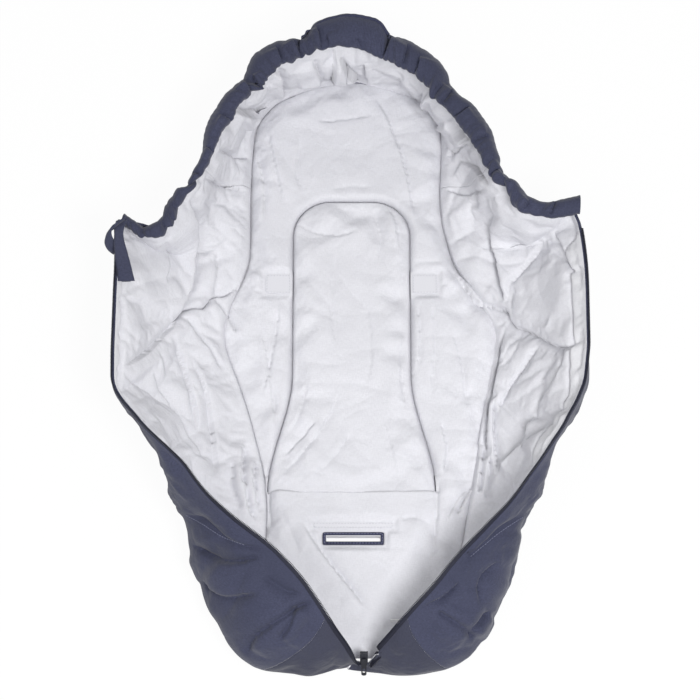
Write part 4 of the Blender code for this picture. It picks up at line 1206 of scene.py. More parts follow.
def cells_inside(outline, holes, spacing):
    """Points, square cells and rim inside an outline and outside its holes, with the rim moved onto them."""
    lo, hi = outline.min(0), outline.max(0)
    nx, ny = int((hi[0] - lo[0]) / spacing) + 3, int((hi[1] - lo[1]) / spacing) + 3
    xs = lo[0] - spacing + spacing * np.arange(nx + 1)
    ys = lo[1] - spacing + spacing * np.arange(ny + 1)
    gx, gy = np.meshgrid(xs, ys, indexing="ij")
    points = np.stack([gx.ravel(), gy.ravel()], 1)
    quads = grid_faces(np.arange(len(points)).reshape(gx.shape))
    middle = points[quads].mean(1)
    keep = inside(middle, outline)
    for hole in holes:
        keep &= ~inside(middle, hole)
    quads = quads[keep]
    edges = np.vstack([quads[:, [k, (k + 1) % 4]] for k in range(4)])
    key = np.sort(edges, axis=1)
    _, first, count = np.unique(key[:, 0] * len(points) + key[:, 1], return_index=True, return_counts=True)
    rim = edges[first[count == 1]]
    border = np.unique(rim)
    place, gap, _ = nearest_on(points[border], outline)
    for hole in holes:
        other, far, _ = nearest_on(points[border], hole)
        place = np.where((far < gap)[:, None], other, place)
        gap = np.minimum(gap, far)
    points[border] = place
    used = np.unique(quads)
    new_id = np.full(len(points), -1)
    new_id[used] = np.arange(len(used))
    return points[used], new_id[quads], new_id[rim]


def flat_pad(name, outline, holes, heights, mats, low=0.0, drop=None, rounded=None):
    """Padded piece lying flat inside an outline, with holes.

    Heights gives its top from points and their distance to the edge. Drop gives each side of the outline the
    depth of its crease, which the pad's edge goes down to. Rounded lists the outlines whose edges are rolled,
    where they are not the outline and holes themselves.
    """
    flat, quads, rim = cells_inside(outline, holes, PAD_GRID)
    _, outer_gap, number = nearest_on(flat, outline)
    gap = np.full(len(flat), 1.0)
    for loop in rounded or (holes + ([] if drop is not None else [outline])):
        gap = np.minimum(gap, nearest_on(flat, loop)[1])
    z = heights(flat, gap)
    if drop is not None:
        flank = np.clip(1 - (outer_gap - PAD_OVERLAP) / (0.006 + 3.0 * drop[number]), 0, 1)
        z -= (drop[number] + 0.0004) * (1 - np.sqrt(1 - flank ** 2))
        z -= 0.0016 * np.clip(1 - outer_gap / PAD_OVERLAP, 0, 1)
    top = np.column_stack([flat, np.maximum(z, low + 0.0006)])
    bottom = np.column_stack([flat, np.full(len(flat), low)])
    n = len(flat)
    walls = np.stack([rim[:, 1], rim[:, 0], rim[:, 0] + n, rim[:, 1] + n], -1)
    faces = np.vstack([quads, quads[:, ::-1] + n, walls])
    zones = np.concatenate([np.full(len(quads), 1), np.full(len(quads), 0), np.full(len(walls), 1)])
    return new_piece(name, np.vstack([top, bottom]), faces, np.vstack([flat, flat]), zones, mats)


BACK_FOLDS = [
    (1.6, 2.2, 0.0, [(252, 291), (266, 292), (291, 290)]),
    (1.6, 2.2, 0.0, [(411, 288), (430, 286), (452, 284)]),
    (1.0, 1.2, 0.0, [(263, 271), (290, 271)]),
    (1.0, 1.2, 0.0, [(263, 271), (263, 291)]),
    (1.0, 1.2, 0.0, [(414, 262), (445, 262)]),
    (1.0, 1.2, 0.0, [(445, 262), (445, 287)]),
    (1.2, 2.0, 0.4, [(315, 122), (345, 120), (372, 116)]),
    (1.8, 1.8, 0.6, [(374, 96), (384, 112), (394, 136), (404, 165), (410, 195), (415, 218)]),
    (1.4, 1.8, -0.5, [(268, 130), (275, 165), (284, 204)]),
    (1.4, 1.8, 0.5, [(256, 150), (264, 190), (262, 225)]),
    (1.2, 1.8, 0.4, [(300, 140), (296, 170), (300, 192)]),
    (1.4, 1.6, 0.5, [(416, 300), (420, 340), (416, 376)]),
    (1.2, 1.6, 0.4, [(432, 300), (434, 350), (430, 400)]),
    (1.4, 1.6, -0.5, [(280, 300), (274, 350), (262, 400)]),
    (1.4, 1.6, 0.5, [(262, 330), (270, 380), (276, 430)]),
    (1.2, 1.6, 0.4, [(452, 330), (462, 370), (466, 410)]),
    (1.6, 1.6, 0.6, [(440, 420), (446, 450), (442, 476)]),
    (1.6, 1.6, -0.6, [(470, 488), (458, 500), (446, 524)]),
    (1.6, 2.0, 0.0, [(316, 521.5), (395, 521.5)]),
    (1.6, 2.0, 0.0, [(316, 529), (395, 529)]),
    (1.6, 2.4, 0.3, [(302, 522), (318, 545), (332, 566), (352, 590), (368, 610)]),
    (1.2, 2.6, 0.0, [(330, 189), (352, 186), (372, 188)]),
    (3.0, 2.4, 0.3, [(269, 478), (268, 500), (269, 529)]),
    (3.0, 2.4, -0.3, [(438, 478), (438, 505), (436, 530), (433, 566)]),
    (1.6, 2.4, 0.0, [(399, 520), (415, 517), (434, 526)]),
    (1.4, 2.6, 0.0, [(300, 555), (290, 530), (280, 512)]),
]
FLAP_FOLDS = [
    (1.2, 2.0, 0.4, [(296, 222), (312, 232), (340, 236), (360, 230)]),
    (1.4, 1.6, 0.5, [(388, 206), (396, 226), (398, 250)]),
    (1.2, 1.6, 0.4, [(372, 210), (380, 236), (376, 262)]),
    (1.4, 1.6, 0.5, [(338, 396), (324, 424), (302, 452), (282, 474)]),
    (1.4, 1.6, -0.5, [(318, 420), (300, 440), (284, 456)]),
    (1.2, 1.6, 0.4, [(352, 430), (334, 456), (310, 478)]),
    (1.2, 1.6, 0.4, [(306, 380), (300, 410), (288, 434)]),
    (1.2, 1.6, 0.4, [(404, 330), (400, 370), (406, 410)]),
    (1.2, 1.6, -0.4, [(384, 420), (392, 450), (398, 480)]),
    (1.2, 1.6, 0.4, [(420, 430), (428, 456), (430, 476)]),
    (1.0, 2.2, 0.3, [(336, 250), (330, 300), (336, 350)]),
    (1.0, 2.2, -0.3, [(366, 300), (372, 350), (366, 390)]),
]


def slack_field(outline, cap):
    """Flat cloth with spare width, held along its outline: its grid's corner, spacing and heights."""
    lo, hi = outline.min(0) - 0.01, outline.max(0) + 0.01
    spacing = 0.005
    xs = np.arange(lo[0], hi[0], spacing)
    ys = np.arange(lo[1], hi[1], spacing)
    gx, gy = np.meshgrid(xs, ys, indexing="ij")
    flat = np.stack([gx, gy], -1).reshape(-1, 2)
    _, gap, _ = nearest_on(flat, outline)
    held = (~inside(flat, outline) | (gap < 0.006)).reshape(gx.shape)
    rough = smooth_noise(gx.shape, [(len(xs) // 5, len(ys) // 5, 0.0005)], 3)
    grid = np.stack([gx, gy, rough], -1)
    move = relax(cloth_wrinkles(grid, np.where(held, 1.0, 0.03), size("pad_slack"), 0.6, cap), 1)
    return lo, spacing, 2.2 * (move - relax(move, 40))[..., 2]


def sample_field(field, points):
    """Heights of such a field at flat points."""
    lo, spacing, z = field
    x, y = ((points - lo) / spacing).T
    i = np.clip(x.astype(int), 0, z.shape[0] - 2)
    j = np.clip(y.astype(int), 0, z.shape[1] - 2)
    return blended(lambda a, b: z[a, b], i, j, np.clip(x - i, 0, 1), np.clip(y - j, 0, 1))


def pad_heights(folds, edge_z, full_z, roll, seed, field, pressed=()):
    """Height of a flat pad: low at sewn edges, full inside, with folds, crumples and pressed-in trims."""

    def heights(points, gap):
        flank = np.clip(1 - gap / roll, 0, 1)
        z = edge_z + (full_z - edge_z) * np.sqrt(1 - flank ** 2)
        places = in_view(np.column_stack([points, z]))
        soft = 0.7 * crumple(points[:, 0] + 1, points[:, 1] + 1, seed) + sample_field(field, points)
        z = z + (1.3 * folds_at(places, folds) + soft) * np.clip(gap / 0.006, 0, 1)
        for node_name in pressed:
            lo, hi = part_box(node_name)
            away = np.maximum(np.abs(points[:, 0] - (lo[0] + hi[0]) / 2) - (hi[0] - lo[0]) / 2,
                              np.abs(points[:, 1] - (lo[1] + hi[1]) / 2) - (hi[1] - lo[1]) / 2)
            rest = lo[2] - 0.0002 if lo[2] > PAD_DEPTH / 2 else hi[2] - 0.0014
            z += (rest - z) * (1 - ease((away - 0.0012) / 0.008))
        return z

    return heights


class FOOTMUFF_OT_back(bpy.types.Operator):
    """Make the padded back with its harness flap"""

    bl_idname = "footmuff.back"
    bl_label = "Back and harness flap"

    def execute(self, context):
        mats = [material("melange_polyester"), material("brushed_cotton_lining")]
        self.back(mats)
        self.flap(mats)
        self.lip()
        return {"FINISHED"}

    def back(self, mats):
        """The back, with holes for the flap and the slot, and its trims pressed in."""
        outline, drop = back_outline(-PAD_OVERLAP)
        pressed = ["crotch_slot_binding", "crotch_slot_stay", "left_back_patch", "right_back_patch",
                   "care_label"]
        hole = flap_outline(FLAP_GAP * 0.6)
        above = np.column_stack([hole[:, 0], np.maximum(hole[:, 1], FLAP_Y[0] + 0.02)])
        heights = pad_heights(BACK_FOLDS + LINING_FOLDS, 0.0030, PAD_TOP, 0.009, 5,
                              slack_field(outline, 0.004), pressed)
        holes = [hole, box_outline(*SLOT)]
        back = flat_pad("back_pad", outline, holes, heights, mats, drop=drop, rounded=[above])
        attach(back, "bag")
        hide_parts("back_outer", "back_wadding", "back_lining")

    def flap(self, mats):
        """The harness flap, rolled at its edge except at its sewn foot."""
        hinge = FLAP_Y[0]
        edge = flap_outline(-FLAP_GAP * 0.1)
        foot = edge[:, 1] < hinge + 0.001
        below = np.column_stack([edge[:, 0], np.where(foot, hinge - 0.03, edge[:, 1])])
        edge[:, 1] = np.where(foot, hinge - 0.0014, edge[:, 1])
        heights = pad_heights(FLAP_FOLDS, 0.0035, PAD_TOP + 0.0004, 0.009, 6, slack_field(edge, 0.004))
        flap = flat_pad("harness_flap_pad", edge, [], heights, mats, low=0.0013, rounded=[below])
        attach(flap, "harness_flap")
        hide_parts("harness_flap_backing", "harness_flap_wadding", "harness_flap_lining")

    def lip(self):
        """Flat lip of lining under the gap round the flap."""
        rim = flap_outline(-0.001)
        rim = np.vstack([rim, rim[:1]])
        line = smooth_line(np.column_stack([rim, np.full(len(rim), 0.0005)]), 420)
        across = np.cross(unit(np.gradient(line, axis=0)), [0, 0, 1.0])
        lip = ribbon("flap_opening_lip", line, across, size("lip_width"), 0.0008,
                     [material("brushed_cotton_lining")])
        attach(lip, "bag")


# Collar and pocket

# The collar's two edges in the view, as (outer, inner) pairs from one end round the head to the other.
COLLAR = [
    ((125, 214), (121, 225)), ((133, 220), (130, 230)), ((142, 226), (140, 236)), ((152, 224), (151, 238)),
    ((160, 219), (162, 235)), ((166, 205), (173, 223)), ((177, 189), (181, 204)), ((185, 187), (193, 187)),
    ((193, 171), (207, 167)), ((202, 154), (214, 152)), ((205, 131), (222, 133)), ((211, 116), (232, 120)),
    ((221, 100), (241, 103)), ((232, 87), (252, 93)), ((243, 79), (262, 87)), ((252, 57), (271, 75)),
    ((268, 45), (283, 64)), ((288, 39), (297, 60)), ((303, 38), (306, 54)), ((314, 24), (320, 50)),
    ((330, 16), (332, 47)), ((350, 13), (350, 47)), ((366, 15), (364, 51)), ((380, 20), (377, 57)),
    ((391, 34), (389, 62)), ((409, 40), (406, 70)), ((428, 52), (418, 78)), ((443, 65), (427, 87)),
    ((450, 83), (434, 99)), ((460, 95), (443, 106)), ((472, 103), (452, 116)), ((482, 116), (461, 128)),
    ((491, 130), (471, 141)), ((498, 154), (482, 159)), ((503, 173), (492, 177)), ((516, 182), (506, 188)),
    ((529, 196), (514, 207)), ((545, 202), (530, 214)), ((562, 199), (552, 218)), ((580, 195), (580, 214)),
]
PINCHES = (2.3, 4.8, 7.2, 14, 18, 24, 28, 34, 37.3)
# Points in each ring of the casing
COLLAR_ROUND = 56


def ring_angles(count):
    """Angles of the points of a ring."""
    return np.linspace(0, 2 * math.pi, count, endpoint=False)


def cloth_uv(far, across):
    """UV map of a strap or tube, from the way along it and the way across."""
    return np.stack(np.broadcast_arrays(far[:, None], across[None]), -1)


def collar_ridges(far, angle, pinch, seed):
    """Height of the casing's gathers, larger beside its pinches and on its inner side."""
    rng = np.random.default_rng(seed)
    ridge = np.zeros((len(far), len(angle)))
    for length, height in RIDGES:
        phase = rng.uniform(0, 6)
        twist = 0.9 * np.sin(angle)[None] + 0.8 * np.sin(far / 0.045 + phase)[:, None]
        wave = np.abs(np.sin(math.pi * far[:, None] / length + twist + phase))
        amount = 0.55 + 0.45 * np.sin(far / 0.031 + phase)[:, None]
        inward = 0.45 + 0.55 * (np.cos(angle)[None] < 0) * 1.0
        ridge += height * (wave - 0.55) * amount * inward
    return ridge * (0.75 + 0.9 * np.exp(-(pinch / 0.5) ** 2)[:, None])


def collar_rings(lo, hi, seed):
    """Rings of points of the gathered casing between two numbered pairs of the collar, with their UV."""
    count = int((hi - lo) * 22) + 1
    places = np.linspace(lo, hi, count)
    pairs = spline_rows(COLLAR, places)
    outward = unit(pairs[:, 0] - pairs[:, 1])
    pairs = pairs + outward[:, None] * np.array([0.9, 0.5])[None, :, None]
    z = collar_level(pairs.mean(1))
    outer, inner = on_level(pairs[:, 0], z - 0.004), on_level(pairs[:, 1], z)
    centre = (outer + inner) / 2
    across = outer - inner
    half = np.linalg.norm(across, axis=1) / 2
    across /= 2 * half[:, None]
    far = way_along(centre)
    angle = ring_angles(COLLAR_ROUND)
    pinch = np.min(np.abs(places[:, None] - np.array(PINCHES)[None]), axis=1)
    rise = np.minimum(0.0115, 0.0065 + 0.3 * half) * (1 - 0.5 * np.exp(-(pinch / 0.5) ** 2))
    ridge = collar_ridges(far, angle, pinch, seed)[..., None]
    c, s = np.cos(angle)[None, :, None], np.sin(angle)[None, :, None]
    upward = np.array([0, 0, 1.0])
    grid = (centre[:, None] + c * (half[:, None, None] + ridge) * across[:, None]
            + s * (rise[:, None, None] + ridge) * upward)
    creased = 1.4 * folds_at(in_view(grid.reshape(-1, 3)), COLLAR_FOLDS).reshape(count, COLLAR_ROUND, 1)
    grid += np.maximum(creased, -0.0055) * np.clip(s, 0, 1) * (c * across[:, None] * 0.4 + upward)
    # The outer side of the casing hangs down over the hood.
    grid[..., 2] -= 0.006 * np.clip(np.cos(angle), 0, 1)[None] ** 2
    return grid, cloth_uv(far, angle * 0.012)


def closed_end(ring, last, first_id):
    """Closes a tube's end ring by two smaller rings and a tip: their points, and faces toward the tip."""
    count = len(last)
    middle = ring.mean(0)
    points, faces = [], []
    for number, scale in enumerate((0.6, 0.2)):
        ids = first_id + number * count + np.arange(count)
        points.append(middle + (ring - middle) * scale)
        faces.append(np.stack([last, ids, np.roll(ids, -1), np.roll(last, -1)], -1))
        last = ids
    points.append(middle[None])
    tip = np.full(count, first_id + 2 * count)
    faces.append(np.stack([last, tip, tip, np.roll(last, -1)], -1))
    return np.vstack(points), faces


def tube_piece(name, grid, uv, mats):
    """Closed tube through rings of points."""
    count, rounds = grid.shape[:2]
    rows = np.arange(count * rounds).reshape(count, rounds)
    around = np.hstack([rows, rows[:, :1]])
    sides = np.stack([around[:-1, :-1], around[:-1, 1:], around[1:, 1:], around[1:, :-1]], -1)
    faces = [sides.reshape(-1, 4)]
    verts, uvs = grid.reshape(-1, 3), uv.reshape(-1, 2)
    for k in (0, -1):
        points, ends = closed_end(grid[k], rows[k], len(verts))
        faces += ends if k == 0 else [quads[:, ::-1] for quads in ends]
        verts = np.vstack([verts, points])
        uvs = np.vstack([uvs, np.tile(uvs[:1], (len(points), 1))])
    mesh = bpy.data.meshes.new(name)
    polys = [tuple(dict.fromkeys(face)) for face in np.vstack(faces).tolist()]
    mesh.from_pydata(verts.tolist(), [], polys)
    for finish in mats:
        mesh.materials.append(finish)
    mesh.shade_smooth()
    layer = mesh.uv_layers.new(name="cloth")
    index = np.empty(len(mesh.loops), np.int32)
    mesh.loops.foreach_get("vertex_index", index)
    layer.data.foreach_set("uv", uvs[index].astype(np.float32).ravel())
    face_outward(mesh)
    obj = bpy.data.objects.new(name, mesh)
    bpy.context.scene.collection.objects.link(obj)
    return obj


class FOOTMUFF_OT_collar(bpy.types.Operator):
    """Make the gathered collar casing in three runs"""

    bl_idname = "footmuff.collar"
    bl_label = "Gathered collar"

    def execute(self, context):
        last = len(COLLAR) - 1
        for name, lo, hi, body in (("left_collar", 0, 14, "left_front"), ("top_collar", 14, 28, None),
                                   ("right_collar", 28, last, "right_front")):
            grid, uv = collar_rings(lo, hi, 41 + lo)
            obj = tube_piece(name, grid, uv, [material("melange_polyester")])
            if body is None:
                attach(obj, "bag")
                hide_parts("collar_casing", "collar_elastic")
                continue
            co = np.empty(len(obj.data.vertices) * 3, np.float32)
            obj.data.vertices.foreach_get("co", co)
            blend_by(obj)
            side = body.split("_")[0]
            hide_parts(f"{side}_collar_end", f"{side}_elastic_end")
        return {"FINISHED"}


# Where the pocket meets the hood and how far back it stands, how far its mouth leans in, its half width and
# its top
POCKET_Y = 0.350
POCKET_BACK = 0.3930
POCKET_LEAN = 0.012
POCKET_HALF = 0.060
POCKET_TOP = 0.1235


class FOOTMUFF_OT_pocket(bpy.types.Operator):
    """Make the pocket behind the hood and its hem"""

    bl_idname = "footmuff.pocket"
    bl_label = "Pocket behind the hood"

    def execute(self, context):
        self.pocket()
        self.hem()
        return {"FINISHED"}

    def pocket(self):
        """Gathered cloth bowed out behind the hood."""
        aa, uu = np.meshgrid(np.linspace(-1, 1, 120), np.linspace(0, 1, 60), indexing="ij")
        a = aa * math.radians(86)
        bulge = (POCKET_BACK - POCKET_Y - POCKET_LEAN * uu) * np.cos(a) ** 0.8
        x = POCKET_HALF * np.sin(a) * (1 - 0.1 * uu) - 0.0062
        front = np.stack([x, POCKET_Y + bulge, 0.0005 + POCKET_TOP * uu], -1)
        out = normals_of(front)
        backward = np.sign(out[60, 30, 1])
        noise = smooth_noise(aa.shape, [(9, 3, 0.0012), (18, 6, 0.0006)], 77)
        ruffle = 0.0012 * np.sin(aa * 34) * np.exp(-(1 - uu) / 0.35)
        front = front + out * (noise + ruffle)[..., None] * backward
        inner = front - out * backward * 0.0016
        uv = np.stack([aa * 0.09, uu * 0.12], -1)
        pocket = shell_piece("head_pocket", front, inner, uv, (0, 0, 0), [material("melange_polyester")],
                             flip=backward < 0)
        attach(pocket, "bag")
        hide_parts("seat_pocket")
        flat = (size("pocket_width"), size("pocket_height"))

    def hem(self):
        """Elastic hem at the pocket's mouth, under the collar."""
        pairs = spline_rows(COLLAR, np.linspace(18.9, 23.8, 90))
        toward = pairs[:, 1] - pairs[:, 0]
        inset = 3.0 / np.linalg.norm(toward, axis=1)[:, None]
        line = on_level(pairs[:, 0] + toward * inset, POCKET_TOP)
        angle = ring_angles(12)
        side = np.cross(unit(np.gradient(line, axis=0)), [0, 0, 1.0])
        ring = (line[:, None] + 0.0022 * np.cos(angle)[None, :, None] * side[:, None]
                + 0.0026 * np.sin(angle)[None, :, None] * np.array([0, 0, 1.0]))
        uv = cloth_uv(np.linspace(0, 0.17, len(line)), angle * 0.003)
        hem = tube_piece("head_pocket_hem", ring, uv, [material("woven_binding")])
        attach(hem, "bag")
        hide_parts("seat_pocket_hem")


# Zip


def zip_line(side, spacing):
    """Points on the wall's edge, with the directions along it, past it and outward, and the way along it."""
    t = np.linspace(*ZIP_T, 600)
    far = way_along(wall(t, np.ones_like(t), side))
    want = np.linspace(0, far[-1], int(far[-1] / spacing) + 1)
    pick = np.interp(want, far, t)
    edge = wall(pick, np.ones_like(pick), side)
    near = wall(pick, np.full_like(pick, 0.98), side)
    along = unit(np.gradient(edge, axis=0))
    past = edge - near
    past = unit(past - np.sum(past * along, axis=1)[:, None] * along)
    return edge, along, past, side * np.cross(along, past), want


class FOOTMUFF_OT_zip(bpy.types.Operator):
    """Make both zip tapes, their coils, the stops, slider and puller"""

    bl_idname = "footmuff.zip"
    bl_label = "Zip"

    def execute(self, context):
        for name, side in SIDES:
            self.tape(name, side)
            self.coil(name, side)
        self.slider()
        for name, side in SIDES:
            edge, along, past, _, _ = zip_line(side, size("zip_pitch"))
            place = edge[-1] + CHAIN_OUT * past[-1] + 0.0024 * along[-1]
            self.stop(f"{name}_top_stop", f"{name}_zip_top_stop", f"{name}_front", place)
        self.stop("foot_stop", "zip_bottom_stop", "bag")
        return {"FINISHED"}

    def tape(self, name, side):
        """Woven tape along the edge of one front half."""
        edge, _, past, out, far = zip_line(side, 0.003)
        rows = np.array([-0.0030, -0.0010, 0.0015, 0.0040])
        top = edge[:, None] + rows[None, :, None] * past[:, None] + 0.0007 * out[:, None]
        under = top - 0.0013 * out[:, None]
        tape = shell_piece(f"{name}_zip_tape", top, under, cloth_uv(far, rows), (0, 0, 0),
                           [material("zip_tape")], flip=side < 0)
        blend_by(tape)
        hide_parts(f"{name}_lower_zip_tape", f"{name}_upper_zip_tape")

    def coil(self, name, side):
        """Coil of small loops beside the tape, each a flat bar across the chain."""
        edge, along, past, out, _ = zip_line(side, size("zip_pitch"))
        centre = edge + CHAIN_OUT * past
        verts, faces = [], []
        for k in range(len(centre)):
            base = len(verts)
            for lean in (-0.0019, 0.0019):
                for a in ring_angles(6):
                    radial = 0.00055 * math.cos(a) * along[k] + 0.0011 * math.sin(a) * out[k]
                    verts.append(centre[k] + past[k] * lean * 0.75 + radial)
            for j in range(6):
                n = (j + 1) % 6
                faces.append((base + j, base + n, base + 6 + n, base + 6 + j))
            faces.append(tuple(base + j for j in reversed(range(6))))
            faces.append(tuple(base + 6 + j for j in range(6)))
        mesh = bpy.data.meshes.new(f"{name}_zip_coil")
        mesh.from_pydata([tuple(v) for v in verts], [], faces)
        mesh.materials.append(material("moulded_nylon_coil"))
        face_outward(mesh)
        obj = bpy.data.objects.new(mesh.name, mesh)
        bpy.context.scene.collection.objects.link(obj)
        blend_by(obj)
        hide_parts(f"{name}_lower_zip_chain", f"{name}_upper_zip_chain")

    def stop(self, name, node_name, body, place=None):
        """Small metal block with round edges, as large as its node, and at its place if none is given."""
        lo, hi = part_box(node_name)
        if place is None:
            place = [(a + b) / 2 for a, b in zip(lo, hi)]
        select_only()
        bpy.ops.mesh.primitive_cube_add(size=1, location=place)
        obj = bpy.context.object
        obj.name = obj.data.name = name
        obj.scale = [b - a for a, b in zip(lo, hi)]
        bpy.ops.object.transform_apply(location=True, rotation=True, scale=True)
        rounding = obj.modifiers.new("rounding", "BEVEL")
        rounding.width = 0.0006
        rounding.segments = 3
        bpy.ops.object.modifier_apply(modifier=rounding.name)
        bpy.ops.object.shade_smooth_by_angle(angle=math.radians(40))
        obj.data.materials.append(material("enamelled_zinc"))
        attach(obj, body)
        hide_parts(node_name)

    def slider(self):
        """Detail on the slider and its puller, whose own shapes stay."""
        for node_name in ("zip_slider", "zip_puller"):
            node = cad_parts[node_name]
            node.data.materials.clear()
            node.data.materials.append(material("enamelled_zinc"))
            rounding = node.modifiers.new("rounding", "BEVEL")
            rounding.width = 0.0007
            rounding.segments = 3


# Tab, trims and stitching


def ribbon(name, line, across, width, thick, mats, rows=7):
    """Flat strap along a line of points, with its width across given directions."""
    line, across = np.asarray(line, float), np.asarray(across, float)
    width = np.broadcast_to(width, len(line))
    cross = np.linspace(-0.5, 0.5, rows)
    middle = line[:, None] + cross[None, :, None] * (across * width[:, None])[:, None]
    soft = thick / 2 * np.sqrt(np.clip(1 - (2 * np.abs(cross)) ** 6, 0.02, 1))
    lift = normals_of(middle) * soft[None, :, None]
    uv = cloth_uv(way_along(line), cross * width.mean())
    return shell_piece(name, middle + lift, middle - lift, uv, (0, 0, 0), mats)


def stitches(name, line, up, kind, share=None):
    """Row of sewn stitches along a line of points, as small rounded bars, with the turn of each point."""
    step, length, radius = size("stitch_pitch"), size("stitch_length"), size("thread_radius")
    line, up = np.asarray(line, float), np.broadcast_to(np.asarray(up, float), (len(line), 3))
    share = np.zeros(len(line)) if share is None else share
    far = way_along(line)
    want = np.arange(step / 2, far[-1], step)

    def at(place, rows):
        return np.stack([np.interp(place, far, rows[:, k]) for k in range(rows.shape[1])], 1)

    middle, lift = at(want, line), unit(at(want, up))
    ahead = unit(at(want + step / 3, line) - at(want - step / 3, line))
    across = np.cross(ahead, lift)
    angle = ring_angles(6)[None, :, None]
    around = np.cos(angle) * across[:, None] + np.sin(angle) * lift[:, None]
    rings = []
    for along, wide, sink in ((-0.5, 0.3, 1), (-0.3, 1, 0), (0.3, 1, 0), (0.5, 0.3, 1)):
        centre = middle + ahead * (along * length) - lift * (0.0003 * sink)
        rings.append(centre[:, None] + radius * wide * around)
    verts = np.stack(rings, 1)
    ids = np.arange(verts.size // 3).reshape(len(want), 4, 6)
    beside = np.roll(ids, -1, axis=2)
    faces = [np.stack([ids[:, :-1], beside[:, :-1], beside[:, 1:], ids[:, 1:]], -1).reshape(-1, 4)]
    for k, order in ((0, (0, 3, 2, 1)), (0, (0, 5, 4, 3)), (3, (0, 1, 2, 3)), (3, (0, 3, 4, 5))):
        faces.append(ids[:, k][:, order])
    faces = np.vstack(faces)
    flat = verts.reshape(-1, 3)
    obj = new_piece(name, flat, faces, flat[:, :2], np.zeros(len(faces)), [material(kind)])
    return obj, np.repeat(np.interp(want, far, share), 24)


def box_line(box, inset, z):
    """Closed line round a box's top, inset from its edges."""
    lo, hi = box
    x0, y0, x1, y1 = lo[0] + inset, lo[1] + inset, hi[0] - inset, hi[1] - inset
    corners = np.array([(x0, y0), (x1, y0), (x1, y1), (x0, y1), (x0, y0)])
    t = np.linspace(0, 4, 161)
    flat = np.stack([np.interp(t, np.arange(5), corners[:, k]) for k in (0, 1)], 1)
    return np.column_stack([flat, np.full(len(flat), z)])


def sewn_on(panel, places):
    """Points, normals and turn on a panel's outer cloth that show at a line of places in the view."""
    under, out, turn = PANELS[panel]
    look, _, _ = view_axes()
    seen = (out @ -look).ravel() > 0.05
    cloth = np.column_stack([under.reshape(-1, 3), out.reshape(-1, 3), turn.ravel()])[seen]
    shown = in_view(cloth[:, :3])
    picked = []
    for place in smooth_line(places, 40):
        gap = np.hypot(*(shown - place).T)
        near = np.argsort(gap)[:4]
        weight = 1 / (gap[near] + 0.2)
        picked.append(weight @ cloth[near] / weight.sum())
    picked = evened(np.array(picked), 2)
    return picked[:, :3] + picked[:, 3:6] * 0.0003, picked[:, 3:6], picked[:, 6]


# Seams topstitched on the outer cloth, as lines in the view
SHELL_SEAMS = [
    ("left", [(186, 515), (204, 525), (223, 537), (244, 545)]),
    ("right", [(523, 517), (500, 532), (470, 557)]),
]


class FOOTMUFF_OT_stitching(bpy.types.Operator):
    """Sew the visible rows of stitches"""

    bl_idname = "footmuff.stitching"
    bl_label = "Stitching"

    def execute(self, context):
        up = (0, 0, 1)
        rows = []
        for node_name, inset in (("left_back_patch", 0.0015), ("right_back_patch", 0.0015),
                                 ("crotch_slot_stay", 0.0008)):
            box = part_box(node_name)
            rows.append((f"{node_name}_stitches", box_line(box, inset, box[1][2] + 0.0001), "pale_thread"))
        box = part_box("crotch_slot_binding")
        rows.append(("slot_stitches", box_line(box, 0.0018, box[1][2] + 0.0012), "navy_thread"))
        for name, line, kind in rows:
            row, _ = stitches(name, line, up, kind)
            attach(row, "bag")
        for side, places in SHELL_SEAMS:
            line, normals, turn = sewn_on(f"{side}_side_panel", places)
            row, share = stitches(f"{side}_foot_stitches", line, normals, "navy_thread", turn)
            blend_by(row)
        return {"FINISHED"}


# Where the closing tab is sewn to the collar's corner, on the axis that it turns about
TAB_ROOT = np.array([-0.2655, 0.112, 0.1490])
# The tab and its loop from there on, as places in the view and their heights above the tab's solid
TAB_LINE = [(119, 229), (119, 240), (121, 252), (123, 264), (126, 281)]
TAB_RISE = [0.001, -0.001, -0.004, -0.007, -0.011]
LOOP_LINE = [(121, 228), (115, 226), (110, 230), (108, 238), (111, 245), (117, 250)]
LOOP_RISE = [0.002, 0.003, 0.001, -0.003, -0.009, -0.014]
# The loop patch on the right collar end, as places in the view and their heights
PATCH_LINE = [(545, 209), (556, 207), (570, 206)]
PATCH_Z = [0.138, 0.139, 0.140]


